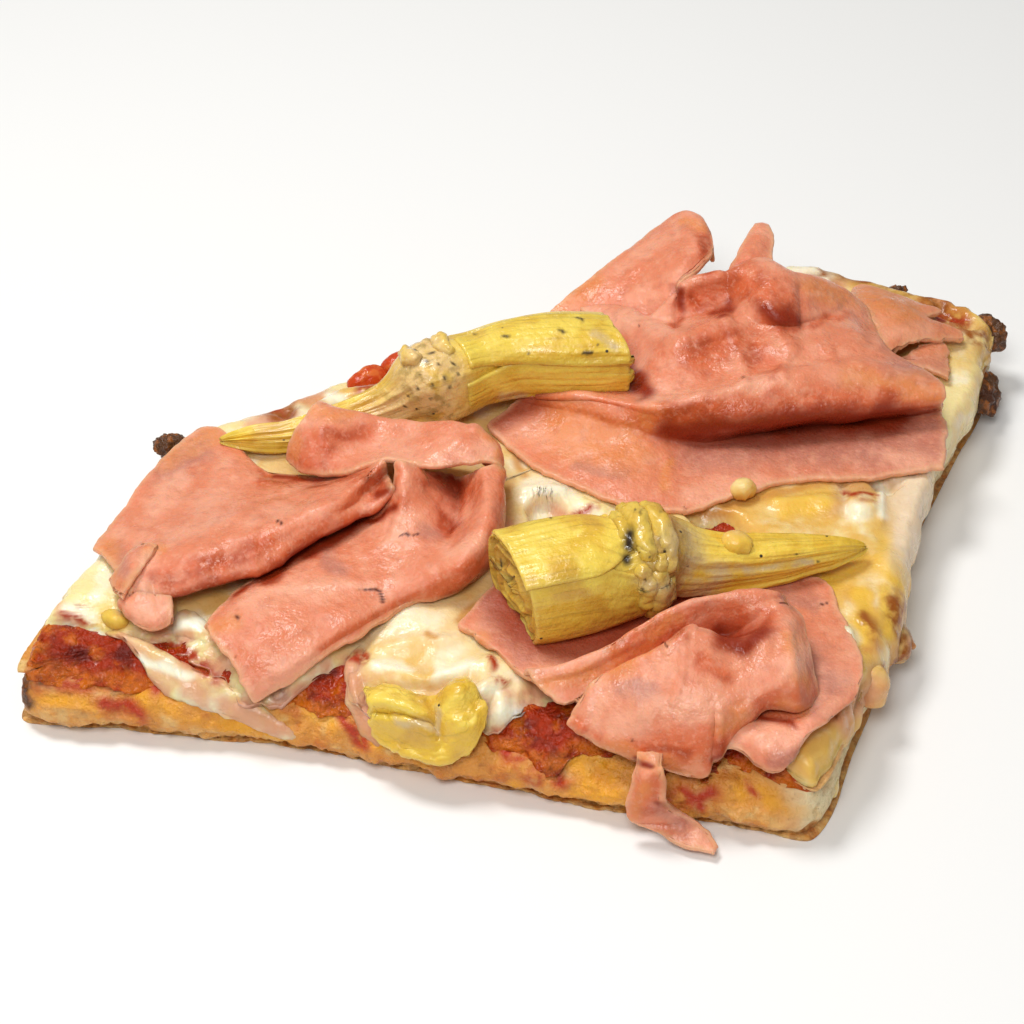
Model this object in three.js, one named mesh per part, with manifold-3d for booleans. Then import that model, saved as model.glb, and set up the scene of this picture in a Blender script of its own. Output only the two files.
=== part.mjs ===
// A square-cut slice of tray pizza with cooked ham and artichokes, in millimetres, +Z up.
// X runs along the browned front rim, Y away from it towards the cut back, and the origin lies on
// the flat underside. The layers, from below: a baked dough slab, tomato sauce, melted cheese, and
// on them the folded ham slices and the two long-stemmed artichoke halves.
import * as THREE from 'three';
import { mergeVertices } from 'three/addons/utils/BufferGeometryUtils.js';
import Module from 'manifold-3d';

const wasm = await Module();
wasm.setup();

// ---------------------------------------------------------------- driving dimensions
const CORNERS = [[-94, -80], [83, -72], [102, 98], [46, 109], [-11, 72], [-84, -1]];  // in plan
const HOLLOWS = [[96, 30, 40, 4], [-30, -77, 40, 4.8], [-92, -36, 24, 2.4]];  // dips in the sides: x, y, radius, depth
const CENTRE = [4, 12];            // every layer is star-shaped round this point
const CORNER_SOFTNESS = 3.5;       // how far the corners are rounded off
const EDGE_WOBBLE = 0.9;           // unevenness of the slab's outline
const FOOT_HEIGHT = 4.5;           // height of the side's widest point
const DOUGH_HEIGHT = 14;
const CUT_SIDE_WIDTH = 2.2;        // width of the rounding on the cut sides
const RIM_WIDTH = 15;              // width of the sloping, browned front rim
const RIM_LIFT = 0.7;              // how far the front rim stands above the rest
const SAUCE_THICKNESS = 1.5;
const CHEESE_THICKNESS = 3.2;
const GAP = 0.65;                  // clearance between layers
const BED_ON_CHEESE = 6.4;         // height of the ham's bed above the dough, over the cheese
const BED_ON_RIM = 4.4;            // and over the bare front rim
const HAM_THICKNESS = 1.9;
const ROUND_STEPS = 60;            // samples round the outline of a layer

// ---------------------------------------------------------------- small helpers
const clamp = (x, low, high) => Math.min(high, Math.max(low, x));
const mix = (a, b, t) => a + (b - a) * t;
const ramp = (low, high, x) => {
  const t = clamp((x - low) / (high - low), 0, 1);
  return t * t * (3 - 2 * t);
};
const bell = (x, centre, width) => Math.exp(-(((x - centre) / width) ** 2));

// Uneven relief from a few crossed waves, about -1 to 1, with lumps as wide as size.
function relief(x, y, size, seed) {
  const a = (2 * x) / size;
  const b = (2 * y) / size;
  const bend = 1.4 * Math.sin(0.6 * a - 0.5 * b + seed);
  return (Math.sin(1.3 * a + 0.5 * b + seed)
    + Math.sin(1.2 * b - 0.7 * a + 2.1 * seed)
    + Math.sin(0.9 * a + 1.1 * b + bend)) / 3;
}

// A smooth value at t, from 0 to 1, through evenly spaced numbers (Catmull-Rom).
function through(values, t) {
  const last = values.length - 1;
  const f = clamp(t, 0, 1) * last;
  const i = Math.min(Math.floor(f), last - 1);
  const w = f - i;
  const b = values[i];
  const c = values[i + 1];
  const a = i > 0 ? values[i - 1] : 2 * b - c;
  const d = i + 2 <= last ? values[i + 2] : 2 * c - b;
  return b + 0.5 * w * (c - a + w * (2 * a - 5 * b + 4 * c - d + w * (3 * (b - c) + d - a)));
}
const pointThrough = (points, t) => points[0].map((_, k) => through(points.map((p) => p[k]), t));

// ---------------------------------------------------------------- the slab's plan and heights
function edgeDistances(x, y) {
  return CORNERS.map(([ax, ay], i) => {
    const [bx, by] = CORNERS[(i + 1) % CORNERS.length];
    const length = Math.hypot(bx - ax, by - ay);
    return ((bx - ax) * (y - ay) - (by - ay) * (x - ax)) / length;
  });
}

// Distance inside the rounded, slightly wavy outline; it is negative outside.
function inset(x, y) {
  const sum = edgeDistances(x, y).reduce((s, d) => s + Math.exp(-d / CORNER_SOFTNESS), 0);
  const hollow = HOLLOWS.reduce((s, [hx, hy, radius, depth]) => (
    s + depth * bell(Math.hypot(x - hx, y - hy), 0, radius)), 0);
  return -CORNER_SOFTNESS * Math.log(sum) - hollow + EDGE_WOBBLE * relief(x, y, 17, 0.4);
}

// 1 along the front rim, falling to 0 where another side is nearer.
function frontness(x, y) {
  const [front, ...others] = edgeDistances(x, y);
  return ramp(-2, 10, Math.min(...others) - front);
}

// Crags of the baked crust and sauce, on the bare rim alone.
const rimCrags = (x, y, size, seed) => (
  frontness(x, y) * ramp(17, 10, inset(x, y)) * relief(x, y, size, seed));

function doughTop(x, y) {
  const front = frontness(x, y);
  const width = mix(CUT_SIDE_WIDTH, RIM_WIDTH, front);
  const share = clamp(inset(x, y) / width, 0, 1);
  const round = Math.sqrt(1 - (1 - share) ** 2);
  const lift = RIM_LIFT * front * bell(inset(x, y), 0.6 * RIM_WIDTH, 5);
  return mix(FOOT_HEIGHT, DOUGH_HEIGHT, round) + lift + 0.4 * rimCrags(x, y, 14, 1.7);
}

const angleOf = (x, y) => Math.atan2(y - CENTRE[1], x - CENTRE[0]);

// How far inside the outline the sauce and the cheese stop, with uneven tongues down the rim.
function sauceInset(angle) {
  const [x, y] = outlineAt(angle);
  return mix(0.9, 4.6 + 2.6 * relief(x, y, 13, 2.6), frontness(x, y));
}

function cheeseInset(angle) {
  const [x, y] = outlineAt(angle);
  const right = bell(angle, 0, 0.62);
  const bulge = 1.4 + 1.8 * bell(angle, -0.36, 0.16);
  const cut = mix(1.6, -bulge, right) + 11 * bell(angle, -2.45, 0.16);
  return mix(cut, 15 + 4.2 * relief(x, y, 20, 0.9), frontness(x, y));
}

// How far the cheese hangs down the cut right side, in a few melted tongues.
function cheeseHang(angle) {
  const tongues = 6.5 * bell(angle, -0.29, 0.08) + 7 * bell(angle, -0.46, 0.07)
    + 5 * bell(angle, -0.66, 0.06) + 4 * bell(angle, -0.05, 0.09) + 6 * bell(angle, 0.22, 0.1)
    + 5 * bell(angle, 0.5, 0.12);
  return 0.2 + bell(angle, 0, 0.62) * (3 + tongues);
}

function sauceTop(x, y) {
  return doughTop(x, y) + GAP + SAUCE_THICKNESS + 0.4 * rimCrags(x, y, 9, 3.1);
}

function cheeseTop(x, y) {
  return sauceTop(x, y) + GAP + CHEESE_THICKNESS + 0.6 * relief(x, y, 19, 4.2) + 0.2 * relief(x, y, 9, 5.5);
}

// The smooth bed that the ham lies on: the cheese, and in front of it the sauce on the rim.
function bed(x, y) {
  const front = frontness(x, y);
  const round = Math.sqrt(1 - (1 - clamp(inset(x, y) / RIM_WIDTH, 0, 1)) ** 2);
  const dough = mix(DOUGH_HEIGHT, mix(FOOT_HEIGHT, DOUGH_HEIGHT, round), front);
  return dough + mix(BED_ON_CHEESE, BED_ON_RIM, front * ramp(18, 4, inset(x, y)));
}

// Finds, by halving, how far out along angle the inset has the wanted value.
const outlineRadii = new Map();
function radiusAt(angle, wanted) {
  const key = `${angle.toFixed(5)} ${wanted.toFixed(3)}`;
  if (outlineRadii.has(key)) return outlineRadii.get(key);
  let low = 0;
  let high = 190;
  for (let i = 0; i < 26; i += 1) {
    const middle = (low + high) / 2;
    const x = CENTRE[0] + middle * Math.cos(angle);
    const y = CENTRE[1] + middle * Math.sin(angle);
    if (inset(x, y) > wanted) low = middle;
    else high = middle;
  }
  outlineRadii.set(key, low);
  return low;
}

// The plan point on angle at a distance inside the outline, or at a share of the way out to it.
function outlineAt(angle, wanted = 0, share = 1) {
  const radius = radiusAt(angle, wanted) * share;
  return [CENTRE[0] + radius * Math.cos(angle), CENTRE[1] + radius * Math.sin(angle)];
}

// ---------------------------------------------------------------- closed solids from grids
function solidFrom(positions, triangles) {
  const geometry = new THREE.BufferGeometry();
  geometry.setAttribute('position', new THREE.Float32BufferAttribute(positions.flat(), 3));
  geometry.setIndex(triangles.flat());
  const merged = mergeVertices(geometry, 1e-4);
  return new wasm.Manifold(new wasm.Mesh({
    numProp: 3,
    vertProperties: new Float32Array(merged.attributes.position.array),
    triVerts: new Uint32Array(merged.index.array),
  }));
}

// A layer: rows of points round CENTRE, from the middle of its underside over its edge to the
// middle of its top. Each row is a function of the angle that gives [x, y, z].
function layerSolid(rows, bottomZ, topZ) {
  const positions = [[...CENTRE, bottomZ], [...CENTRE, topZ]];
  rows.forEach((row) => {
    for (let i = 0; i < ROUND_STEPS; i += 1) positions.push(row((2 * Math.PI * i) / ROUND_STEPS - Math.PI));
  });
  const at = (row, i) => 2 + row * ROUND_STEPS + (i % ROUND_STEPS);
  const triangles = [];
  for (let i = 0; i < ROUND_STEPS; i += 1) {
    triangles.push([0, at(0, i + 1), at(0, i)]);
    triangles.push([1, at(rows.length - 1, i), at(rows.length - 1, i + 1)]);
    for (let r = 0; r + 1 < rows.length; r += 1) {
      triangles.push([at(r, i), at(r, i + 1), at(r + 1, i + 1)]);
      triangles.push([at(r, i), at(r + 1, i + 1), at(r + 1, i)]);
    }
  }
  return solidFrom(positions, triangles);
}

const subtractPoints = (a, b) => a.map((v, k) => v - b[k]);
function unitCross(a, b) {
  const c = [a[1] * b[2] - a[2] * b[1], a[2] * b[0] - a[0] * b[2], a[0] * b[1] - a[1] * b[0]];
  const length = Math.hypot(...c) || 1;
  return c.map((v) => v / length);
}

// A sheet with thickness round the middle surface that middle(u, v) gives, thinner at its edges.
function sheetSolid(middle, uSteps, vSteps, thickness) {
  const grid = [];
  for (let i = 0; i <= uSteps; i += 1) {
    grid.push([]);
    for (let j = 0; j <= vSteps; j += 1) grid[i].push(middle(i / uSteps, j / vSteps));
  }
  const pick = (i, j) => grid[clamp(i, 0, uSteps)][clamp(j, 0, vSteps)];
  const positions = [];
  [1, -1].forEach((side) => {
    for (let i = 0; i <= uSteps; i += 1) {
      for (let j = 0; j <= vSteps; j += 1) {
        const edge = Math.min(i, uSteps - i, j, vSteps - j) === 0 ? 0.55 : 1;
        const normal = unitCross(
          subtractPoints(pick(i + 1, j), pick(i - 1, j)),
          subtractPoints(pick(i, j + 1), pick(i, j - 1)),
        );
        positions.push(grid[i][j].map((v, k) => v + side * edge * (thickness / 2) * normal[k]));
      }
    }
  });
  const count = (uSteps + 1) * (vSteps + 1);
  const at = (i, j, side) => side * count + i * (vSteps + 1) + j;
  const triangles = [];
  const quad = (a, b, c, d) => triangles.push([a, b, c], [a, c, d]);
  for (let i = 0; i < uSteps; i += 1) {
    for (let j = 0; j < vSteps; j += 1) {
      quad(at(i, j, 0), at(i + 1, j, 0), at(i + 1, j + 1, 0), at(i, j + 1, 0));
      quad(at(i, j, 1), at(i, j + 1, 1), at(i + 1, j + 1, 1), at(i + 1, j, 1));
    }
    quad(at(i, 0, 1), at(i + 1, 0, 1), at(i + 1, 0, 0), at(i, 0, 0));
    quad(at(i, vSteps, 0), at(i + 1, vSteps, 0), at(i + 1, vSteps, 1), at(i, vSteps, 1));
  }
  for (let j = 0; j < vSteps; j += 1) {
    quad(at(0, j, 0), at(0, j + 1, 0), at(0, j + 1, 1), at(0, j, 1));
    quad(at(uSteps, j, 1), at(uSteps, j + 1, 1), at(uSteps, j + 1, 0), at(uSteps, j, 0));
  }
  return solidFrom(positions, triangles);
}

// ---------------------------------------------------------------- dough, sauce and cheese
const at = (angle, wanted, z, share = 1) => {
  const [x, y] = outlineAt(angle, wanted, share);
  return [x, y, typeof z === 'function' ? z(x, y) : z];
};

// The plan step, inside the outline, where the rounding of the sides has ended.
const flatInset = (angle) => 1.15 * mix(CUT_SIDE_WIDTH, RIM_WIDTH, frontness(...outlineAt(angle)));

function makeDough() {
  const crags = (angle, seed) => 0.5 * relief(60 * angle, 7 * seed, 9, seed);
  const rows = [
    (angle) => at(angle, 3.2, 0),
    (angle) => at(angle, 0.8 + crags(angle, 1), 1.2),
    (angle) => at(angle, 0.3 * crags(angle, 2), FOOT_HEIGHT),
    ...[0.09, 0.25, 0.46, 0.7, 1].map((share) => (angle) => at(angle, share * flatInset(angle), doughTop)),
    ...[0.66, 0.33].map((share) => (angle) => at(angle, flatInset(angle), doughTop, share)),
  ];
  return layerSolid(rows, 0, doughTop(...CENTRE));
}

function makeSauce() {
  const floor = (x, y) => doughTop(x, y) + GAP;
  const halfway = (x, y) => floor(x, y) + 0.6 * SAUCE_THICKNESS;
  const step = (share) => (angle) => mix(sauceInset(angle), flatInset(angle), share);
  const ring = (share, z) => (angle) => at(angle, step(share)(angle), z);
  const rows = [
    (angle) => at(angle, flatInset(angle), floor, 0.6),
    ...[1, 0.45, 0.12].map((share) => ring(share, floor)),
    ring(0, halfway),
    ...[0.12, 0.45, 1].map((share) => ring(share, sauceTop)),
    (angle) => at(angle, flatInset(angle), sauceTop, 0.6),
  ];
  return layerSolid(rows, floor(...CENTRE), sauceTop(...CENTRE));
}

// The cheese ends on the rim in front, stops at the cut on the left and back, and on the right
// runs over the edge and hangs down the side as a thin skirt.
function makeCheese() {
  const floor = (x, y) => sauceTop(x, y) + GAP + 0.4 * frontness(x, y) * bell(inset(x, y), 16, 8);
  const spill = (angle) => ramp(0.8, -0.4, cheeseInset(angle));
  const over = (angle) => Math.max(cheeseInset(angle) + 1.4, 1.6);
  const inner = (angle) => mix(cheeseInset(angle) + 0.5, -0.6, spill(angle));
  const outer = (angle) => cheeseInset(angle) - 0.3;
  const edgeZ = (angle) => floor(...outlineAt(angle, over(angle)));
  const hem = (angle) => edgeZ(angle) - cheeseHang(angle);
  const rows = [
    (angle) => at(angle, over(angle) + 9, floor, 0.5),
    ...[9, 3, 0].map((step) => (angle) => at(angle, over(angle) + step, floor)),
    (angle) => at(angle, inner(angle), mix(edgeZ(angle), hem(angle), 0.5)),
    (angle) => at(angle, inner(angle) - 0.05, hem(angle)),
    (angle) => at(angle, mix(inner(angle), outer(angle), 0.6), hem(angle) - 0.25),
    (angle) => at(angle, outer(angle), hem(angle) + 0.7),
    (angle) => at(angle, outer(angle) + 0.2, edgeZ(angle) + 0.9),
    (angle) => at(angle, outer(angle) + 1.1, edgeZ(angle) + 2.1),
    ...[2.9, 5.8, 10.3].map((step) => (angle) => at(angle, outer(angle) + step, cheeseTop)),
    ...[0.78, 0.52, 0.26].map((share) => (angle) => at(angle, outer(angle) + 10.3, cheeseTop, share)),
  ];
  return layerSolid(rows, floor(...CENTRE), cheeseTop(...CENTRE));
}

// Small burnt lumps of crust that stick out of the edge.
function burntBit([x, y, z, size]) {
  const geometry = new THREE.IcosahedronGeometry(size, 1);
  geometry.deleteAttribute('normal');
  geometry.deleteAttribute('uv');
  const merged = mergeVertices(geometry);
  const { position } = merged.attributes;
  const positions = Array.from({ length: position.count }, (_, i) => {
    const [px, py, pz] = [position.getX(i), position.getY(i), position.getZ(i)];
    const lump = 1 + 0.25 * relief(px + x, py + y + pz, 0.8 * size, x);
    return [x + lump * px, y + lump * py, z + 0.8 * lump * pz];
  });
  return solidFrom(positions, [Array.from(merged.index.array)]);
}

// ---------------------------------------------------------------- ham
// A folded slice is described by two guides in plan, near and far, and by its fold lines between
// them. A fold line has, at even steps along the guides, a share of the way from near to far and a
// height above the bed. dents are soft dimples or pleats: [x, y, radius, height].
function foldedSheet({ near, far, folds, dents = [], ragged = 0, seed = 0 }) {
  return (u, v) => {
    const share = through(folds.map((fold) => through(fold.share, u)), v);
    const height = through(folds.map((fold) => through(fold.height, u)), v);
    const [nearX, nearY] = pointThrough(near, u);
    const [farX, farY] = pointThrough(far, u);
    const torn = ragged * (relief(40 * u, 31 * seed, 9, seed) * bell(v, 0, 0.1)
      + relief(40 * u, 17 * seed, 7, seed + 1) * bell(v, 1, 0.1));
    const x = mix(nearX, farX, share + torn);
    const y = mix(nearY, farY, share + torn);
    const pressed = dents.reduce((sum, [dx, dy, radius, depth]) => (
      sum + depth * bell(Math.hypot(x - dx, y - dy), 0, radius)), 0);
    return [x, y, bed(x, y) + height + HAM_THICKNESS / 2 + pressed];
  };
}

const HAM_RIGHT = {
  near: [[-11, 22], [4, 9], [24, 2], [46, 5], [70, 20], [95, 30]],
  far: [[4, 52], [20, 74], [40, 87], [65, 86], [79, 71], [93, 64]],
  folds: [
    { share: [0, 0, 0, 0, 0, 0], height: [0.4, 0.4, 0.4, 0.4, 0.4, 0.4] },                      // front edge
    { share: [0.15, 0.10, 0.15, 0.18, 0.20, 0.16], height: [1.5, 2, 1.8, 1.5, 1.2, 1] },        // flat flap
    { share: [0.30, 0.20, 0.29, 0.365, 0.41, 0.34], height: [2.4, 2.6, 2.2, 2, 1.8, 1.8] },     // valley
    { share: [0.40, 0.205, 0.28, 0.35, 0.395, 0.34], height: [3.4, 7, 8, 8, 8, 6] },            // overhung
    { share: [0.50, 0.25, 0.32, 0.40, 0.46, 0.42], height: [4, 11, 13, 13.5, 13, 9.5] },        // crest
    { share: [0.60, 0.38, 0.42, 0.50, 0.56, 0.54], height: [4, 10.5, 12.5, 13.5, 13, 9] },      // behind it
    { share: [0.70, 0.58, 0.58, 0.64, 0.72, 0.68], height: [4, 13.5, 16.5, 16.5, 12.5, 6] },    // next crest
    { share: [0.80, 0.74, 0.74, 0.78, 0.83, 0.80], height: [3, 13.5, 16, 16, 9, 4] },           // upper dip
    { share: [0.90, 0.89, 0.90, 0.91, 0.92, 0.90], height: [2, 11, 14, 13, 6, 2.5] },           // top edge
    { share: [1, 1, 1, 1, 1, 1], height: [1, 4, 4, 4, 3, 1] },                                  // back edge
  ],
  dents: [[27, 58, 7, -3], [47, 64, 7, -5.5], [37, 62, 5, 3.5], [60, 67, 6, 3.5], [66, 58, 6, -3], [51, 48, 5, -2.5],
    [20, 12, 7, 1.6], [66, 38, 7, 1.2]],
};

const HAM_RIGHT_TIP = {
  near: [[36, 77], [42, 79], [49, 79]],
  far: [[36, 84], [40, 92], [46, 85]],
  folds: [
    { share: [0, 0, 0], height: [10, 11, 10] },
    { share: [0.5, 0.4, 0.5], height: [13.5, 15, 13] },
    { share: [0.9, 0.9, 0.9], height: [12, 16.5, 12] },
    { share: [1.2, 1.1, 1.2], height: [8, 11, 8] },
  ],
};

const HAM_LEFT_FLAP = {
  near: [[-37, -73], [-47, -66], [-57, -58], [-69, -44]],
  far: [[-4, -40], [2, -24], [1, -8], [-14, 6]],
  folds: [
    { share: [0, 0, 0, 0], height: [0.5, 0.5, 0.5, 0.5] },                       // cut end
    { share: [0.3, 0.3, 0.3, 0.3], height: [1.1, 1.3, 1.1, 0.9] },
    { share: [0.6, 0.6, 0.6, 0.6], height: [1.5, 1.8, 1.6, 1.2] },
    { share: [0.82, 0.80, 0.78, 0.76], height: [1.4, 2, 2, 2] },                 // hollow of the loop
    { share: [0.92, 0.90, 0.90, 0.93], height: [2, 5, 8, 9] },
    { share: [0.97, 0.97, 0.985, 1], height: [2.2, 6, 11.5, 12.5] },             // crest of the loop
    { share: [0.995, 1.02, 1.04, 1.05], height: [1.6, 3.5, 7, 8] },
    { share: [1, 1.03, 1.05, 1.05], height: [0.5, 0.5, 0.8, 1] },
  ],
  dents: [[-18, -30, 7, 1.4]],
};

const HAM_LEFT_ROLL = {
  near: [[-69, -64], [-49, -46], [-36, -28], [-23, -13]],
  far: [[-79, -58], [-83, -31], [-77, -3], [-45, -2]],
  folds: [
    { share: [0.2, 0.1, 0.1, 0.15], height: [0.8, 2.5, 2.8, 2.8] },              // edge tucked under
    { share: [0.05, 0, 0, 0.03], height: [1.6, 4, 4.5, 4.5] },
    { share: [0, -0.02, -0.02, 0], height: [3.5, 7, 8, 8] },                     // belly of the roll
    { share: [0.3, 0.12, 0.14, 0.3], height: [6, 9.5, 11, 11] },                 // crest
    { share: [0.6, 0.3, 0.32, 0.55], height: [4.5, 8, 8, 8] },
    { share: [0.8, 0.62, 0.64, 0.8], height: [2, 3, 3, 4] },
    { share: [1, 1, 1, 1], height: [0.4, 0.4, 0.4, 0.8] },                       // back edge
  ],
  dents: [[-72, -38, 8, 1.4], [-60, -20, 9, -1]],
};

const HAM_LEFT_TOP = {
  near: [[-48, -14], [-37, -16], [-25, -9], [-13, -10], [0, -13]],
  far: [[-49, 4], [-38, 5], [-25, 5], [-12, 6], [2, -3]],
  folds: [
    { share: [0, 0, 0, 0, 0], height: [9, 9, 9.5, 10.5, 11.5] },
    { share: [0.35, 0.35, 0.35, 0.35, 0.35], height: [11, 10, 9.5, 11.5, 12] },
    { share: [0.7, 0.7, 0.7, 0.7, 0.7], height: [11.5, 11.5, 12, 12.5, 12] },
    { share: [1, 1, 1, 1, 1], height: [11, 11, 12, 11.5, 10.5] },
  ],
};

const HAM_FRONT_BASE = {
  near: [[0, -46], [22, -62], [45, -66], [70, -68], [87, -48]],
  far: [[3, -20], [24, -24], [46, -22], [66, -15], [84, -28]],
  folds: [
    { share: [0, 0, 0, 0, 0], height: [0.2, 0.2, 0.2, 0.8, 0.3] },
    { share: [0.35, 0.35, 0.35, 0.35, 0.35], height: [0.5, 0.4, 0.3, 0.4, 0.8] },
    { share: [0.7, 0.7, 0.7, 0.7, 0.7], height: [0.4, 0.2, 0.2, 0.2, 0.4] },
    { share: [1, 1, 1, 1, 1], height: [0.2, 0.1, 0.1, 0.1, 0.2] },
  ],
  ragged: 0.05,
  seed: 2,
};

const HAM_FRONT_FOLD = {
  near: [[18, -62], [29, -69], [42, -71], [56, -72], [68, -59], [78, -54]],
  far: [[21, -53], [34, -49], [47, -36], [61, -28], [74, -30], [79, -40]],
  folds: [
    { share: [0, 0, 0, 0, 0, 0], height: [0.6, 1.4, 1.6, 1.8, 2, 0.5] },                        // front edge
    { share: [0.2, 0.2, 0.3, 0.3, 0.28, 0.2], height: [1.2, 2.3, 4, 5.5, 6, 1.2] },             // panel
    { share: [0.43, 0.43, 0.64, 0.63, 0.55, 0.45], height: [1.8, 3, 6, 7, 7.5, 1.6] },          // free edge
    { share: [0.44, 0.42, 0.62, 0.62, 0.56, 0.5], height: [1.4, 1.6, 3.4, 5.4, 7.2, 1.6] },     // below it
    { share: [0.5, 0.5, 0.7, 0.69, 0.68, 0.6], height: [1.6, 1.6, 3.4, 4.4, 7.4, 1.6] },        // pocket
    { share: [0.7, 0.78, 0.87, 0.88, 0.85, 0.8], height: [2, 5, 8, 9.2, 8.6, 1.6] },            // ridge
    { share: [1, 1, 1, 1, 1, 1], height: [0.6, 0.6, 1, 1.2, 1.6, 0.5] },                        // back foot
  ],
  ragged: 0.04,
  seed: 1,
};

const HAM_BACK = {
  near: [[-6, 56], [4, 62], [16, 67], [27, 70]],
  far: [[-4, 66], [7, 83], [19, 99], [31, 91]],
  folds: [
    { share: [0, 0, 0, 0], height: [1, 1, 1.5, 2] },
    { share: [0.25, 0.25, 0.25, 0.22], height: [3, 4, 5, 6] },
    { share: [0.5, 0.55, 0.58, 0.5], height: [5, 7, 9.5, 9.5] },
    { share: [0.7, 0.82, 0.87, 0.75], height: [6, 9, 12.5, 10] },
    { share: [0.9, 0.93, 0.95, 0.9], height: [5, 7.5, 10.5, 8] },
    { share: [1, 1, 1, 1], height: [2, 4, 6, 4] },
  ],
  dents: [[22, 74, 6, -1.5]],
};

const HAM_CORNER = {
  near: [[71, 68], [81, 71], [94, 80]],
  far: [[60, 92], [74, 96], [89, 90]],
  folds: [
    { share: [0, 0, 0], height: [2.6, 3.4, 1.3] },
    { share: [0.35, 0.35, 0.35], height: [4.4, 4.4, 2.2] },
    { share: [0.7, 0.7, 0.7], height: [4, 2.8, 1.4] },
    { share: [1, 1, 1], height: [1, 0.8, 0.5] },
  ],
  ragged: 0.1,
  seed: 3,
};

const HAM_CORNER_UNDER = {
  near: [[83, 56], [90, 58], [94, 62]],
  far: [[77, 73], [85, 78], [92, 78]],
  folds: [
    { share: [0, 0, 0], height: [0.6, 0.6, 0.3] },
    { share: [0.5, 0.5, 0.5], height: [1.4, 1.4, 0.7] },
    { share: [1, 1, 1], height: [1.6, 1.8, 1] },
  ],
};

const foldedSolid = (slice, uSteps, vSteps) => sheetSolid(foldedSheet(slice), uSteps, vSteps, HAM_THICKNESS);

// The torn scrap that hangs over the front rim and rests its tip beside the crust.
function makeScrap() {
  const spine = [[46, -66, 17], [46.5, -72.5, 13.5], [47, -76.4, 8], [50, -78, 3.6], [56, -79.5, 1.7], [64, -81.5, 1.4]];
  const halfWidth = [3, 4.5, 4, 5, 4.5, 0.8];
  const across = [0.9, 0.35, 0.1];
  const middle = (u, v) => {
    const [x, y, z] = pointThrough(spine, v);
    const reach = (2 * u - 1) * through(halfWidth, v);
    const curl = 0.9 * Math.sin(5 * u + 6 * v) * bell(v, 0.35, 0.4);
    return [x + reach * across[0], y + reach * across[1] - curl, z + reach * across[2]];
  };
  return sheetSolid(middle, 5, 12, 1.6);
}

// ---------------------------------------------------------------- artichokes and small pieces
// A solid along a spine of [x, y, z, half width, half height]; its section is squarish and is
// flat below.
function spineSolid(spine, steps, sides, { flat = 0.88, square = 0.8, grain = 0 } = {}) {
  const rings = [];
  for (let i = 0; i <= steps; i += 1) {
    const t = i / steps;
    const [x, y, z, halfWidth, halfHeight] = pointThrough(spine, t);
    const [ax, ay] = pointThrough(spine, clamp(t - 0.04, 0, 1));
    const [bx, by] = pointThrough(spine, clamp(t + 0.04, 0, 1));
    const run = Math.hypot(bx - ax, by - ay);
    const sideways = [-(by - ay) / run, (bx - ax) / run];
    const ring = [];
    for (let k = 0; k < sides; k += 1) {
      const angle = (2 * Math.PI * k) / sides;
      const corner = (Math.abs(Math.cos(angle)) ** (2 / square) + Math.abs(Math.sin(angle)) ** (2 / square)) ** (-square / 2);
      const swell = corner * (1 + grain * relief(9 * t, 3 * angle, 2, 5));
      const reach = halfWidth * Math.cos(angle) * swell;
      const rise = halfHeight * Math.max(Math.sin(angle) * swell, -flat);
      ring.push([x + reach * sideways[0], y + reach * sideways[1], z + rise]);
    }
    rings.push(ring);
  }
  const ends = [pointThrough(spine, 0), pointThrough(spine, 1)].map((p) => p.slice(0, 3));
  const positions = [...ends, ...rings.flat()];
  const index = (i, k) => 2 + i * sides + (k % sides);
  const triangles = [];
  for (let k = 0; k < sides; k += 1) {
    triangles.push([0, index(0, k + 1), index(0, k)]);
    triangles.push([1, index(steps, k), index(steps, k + 1)]);
    for (let i = 0; i < steps; i += 1) {
      triangles.push([index(i, k), index(i + 1, k + 1), index(i + 1, k)]);
      triangles.push([index(i, k), index(i, k + 1), index(i + 1, k + 1)]);
    }
  }
  return solidFrom(positions, triangles);
}

// [x, y, z, half width, half height] from the cut leaf ends, over the heart, to the stem's tip.
const ARTICHOKE_FRONT = [
  [10, -41, 30, 10.2, 9.4], [16, -38, 30.5, 11.4, 10.6], [24, -34, 31, 11.8, 11], [30, -30.5, 31, 11, 10.8],
  [35, -27, 31.5, 12, 11.4], [40, -23.5, 29.8, 9, 9], [46, -21, 27.5, 6.6, 6.8], [55, -17, 26.5, 6, 5.6],
  [65, -12.5, 26, 5, 5], [75, -7.5, 25.4, 4, 4.2], [83, -3, 24.8, 2, 2.2],
];
const ARTICHOKE_BACK = [
  [16, 41, 31.5, 8.5, 8.5], [8, 39.5, 31.5, 9.2, 9], [0, 37.5, 31.5, 9.2, 9], [-8, 34, 31, 8.6, 8.6],
  [-15, 29.5, 30.5, 8.8, 8.8], [-21, 25, 30, 9, 8.6], [-27, 20.5, 28.6, 7.5, 7.5], [-33, 17, 26.8, 5.5, 6],
  [-42, 11, 25, 4, 4.4], [-52, 4, 24.2, 3.4, 3.6], [-61, 0.5, 24, 2.8, 3], [-69, -1.5, 23.4, 1, 1.4],
];
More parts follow.
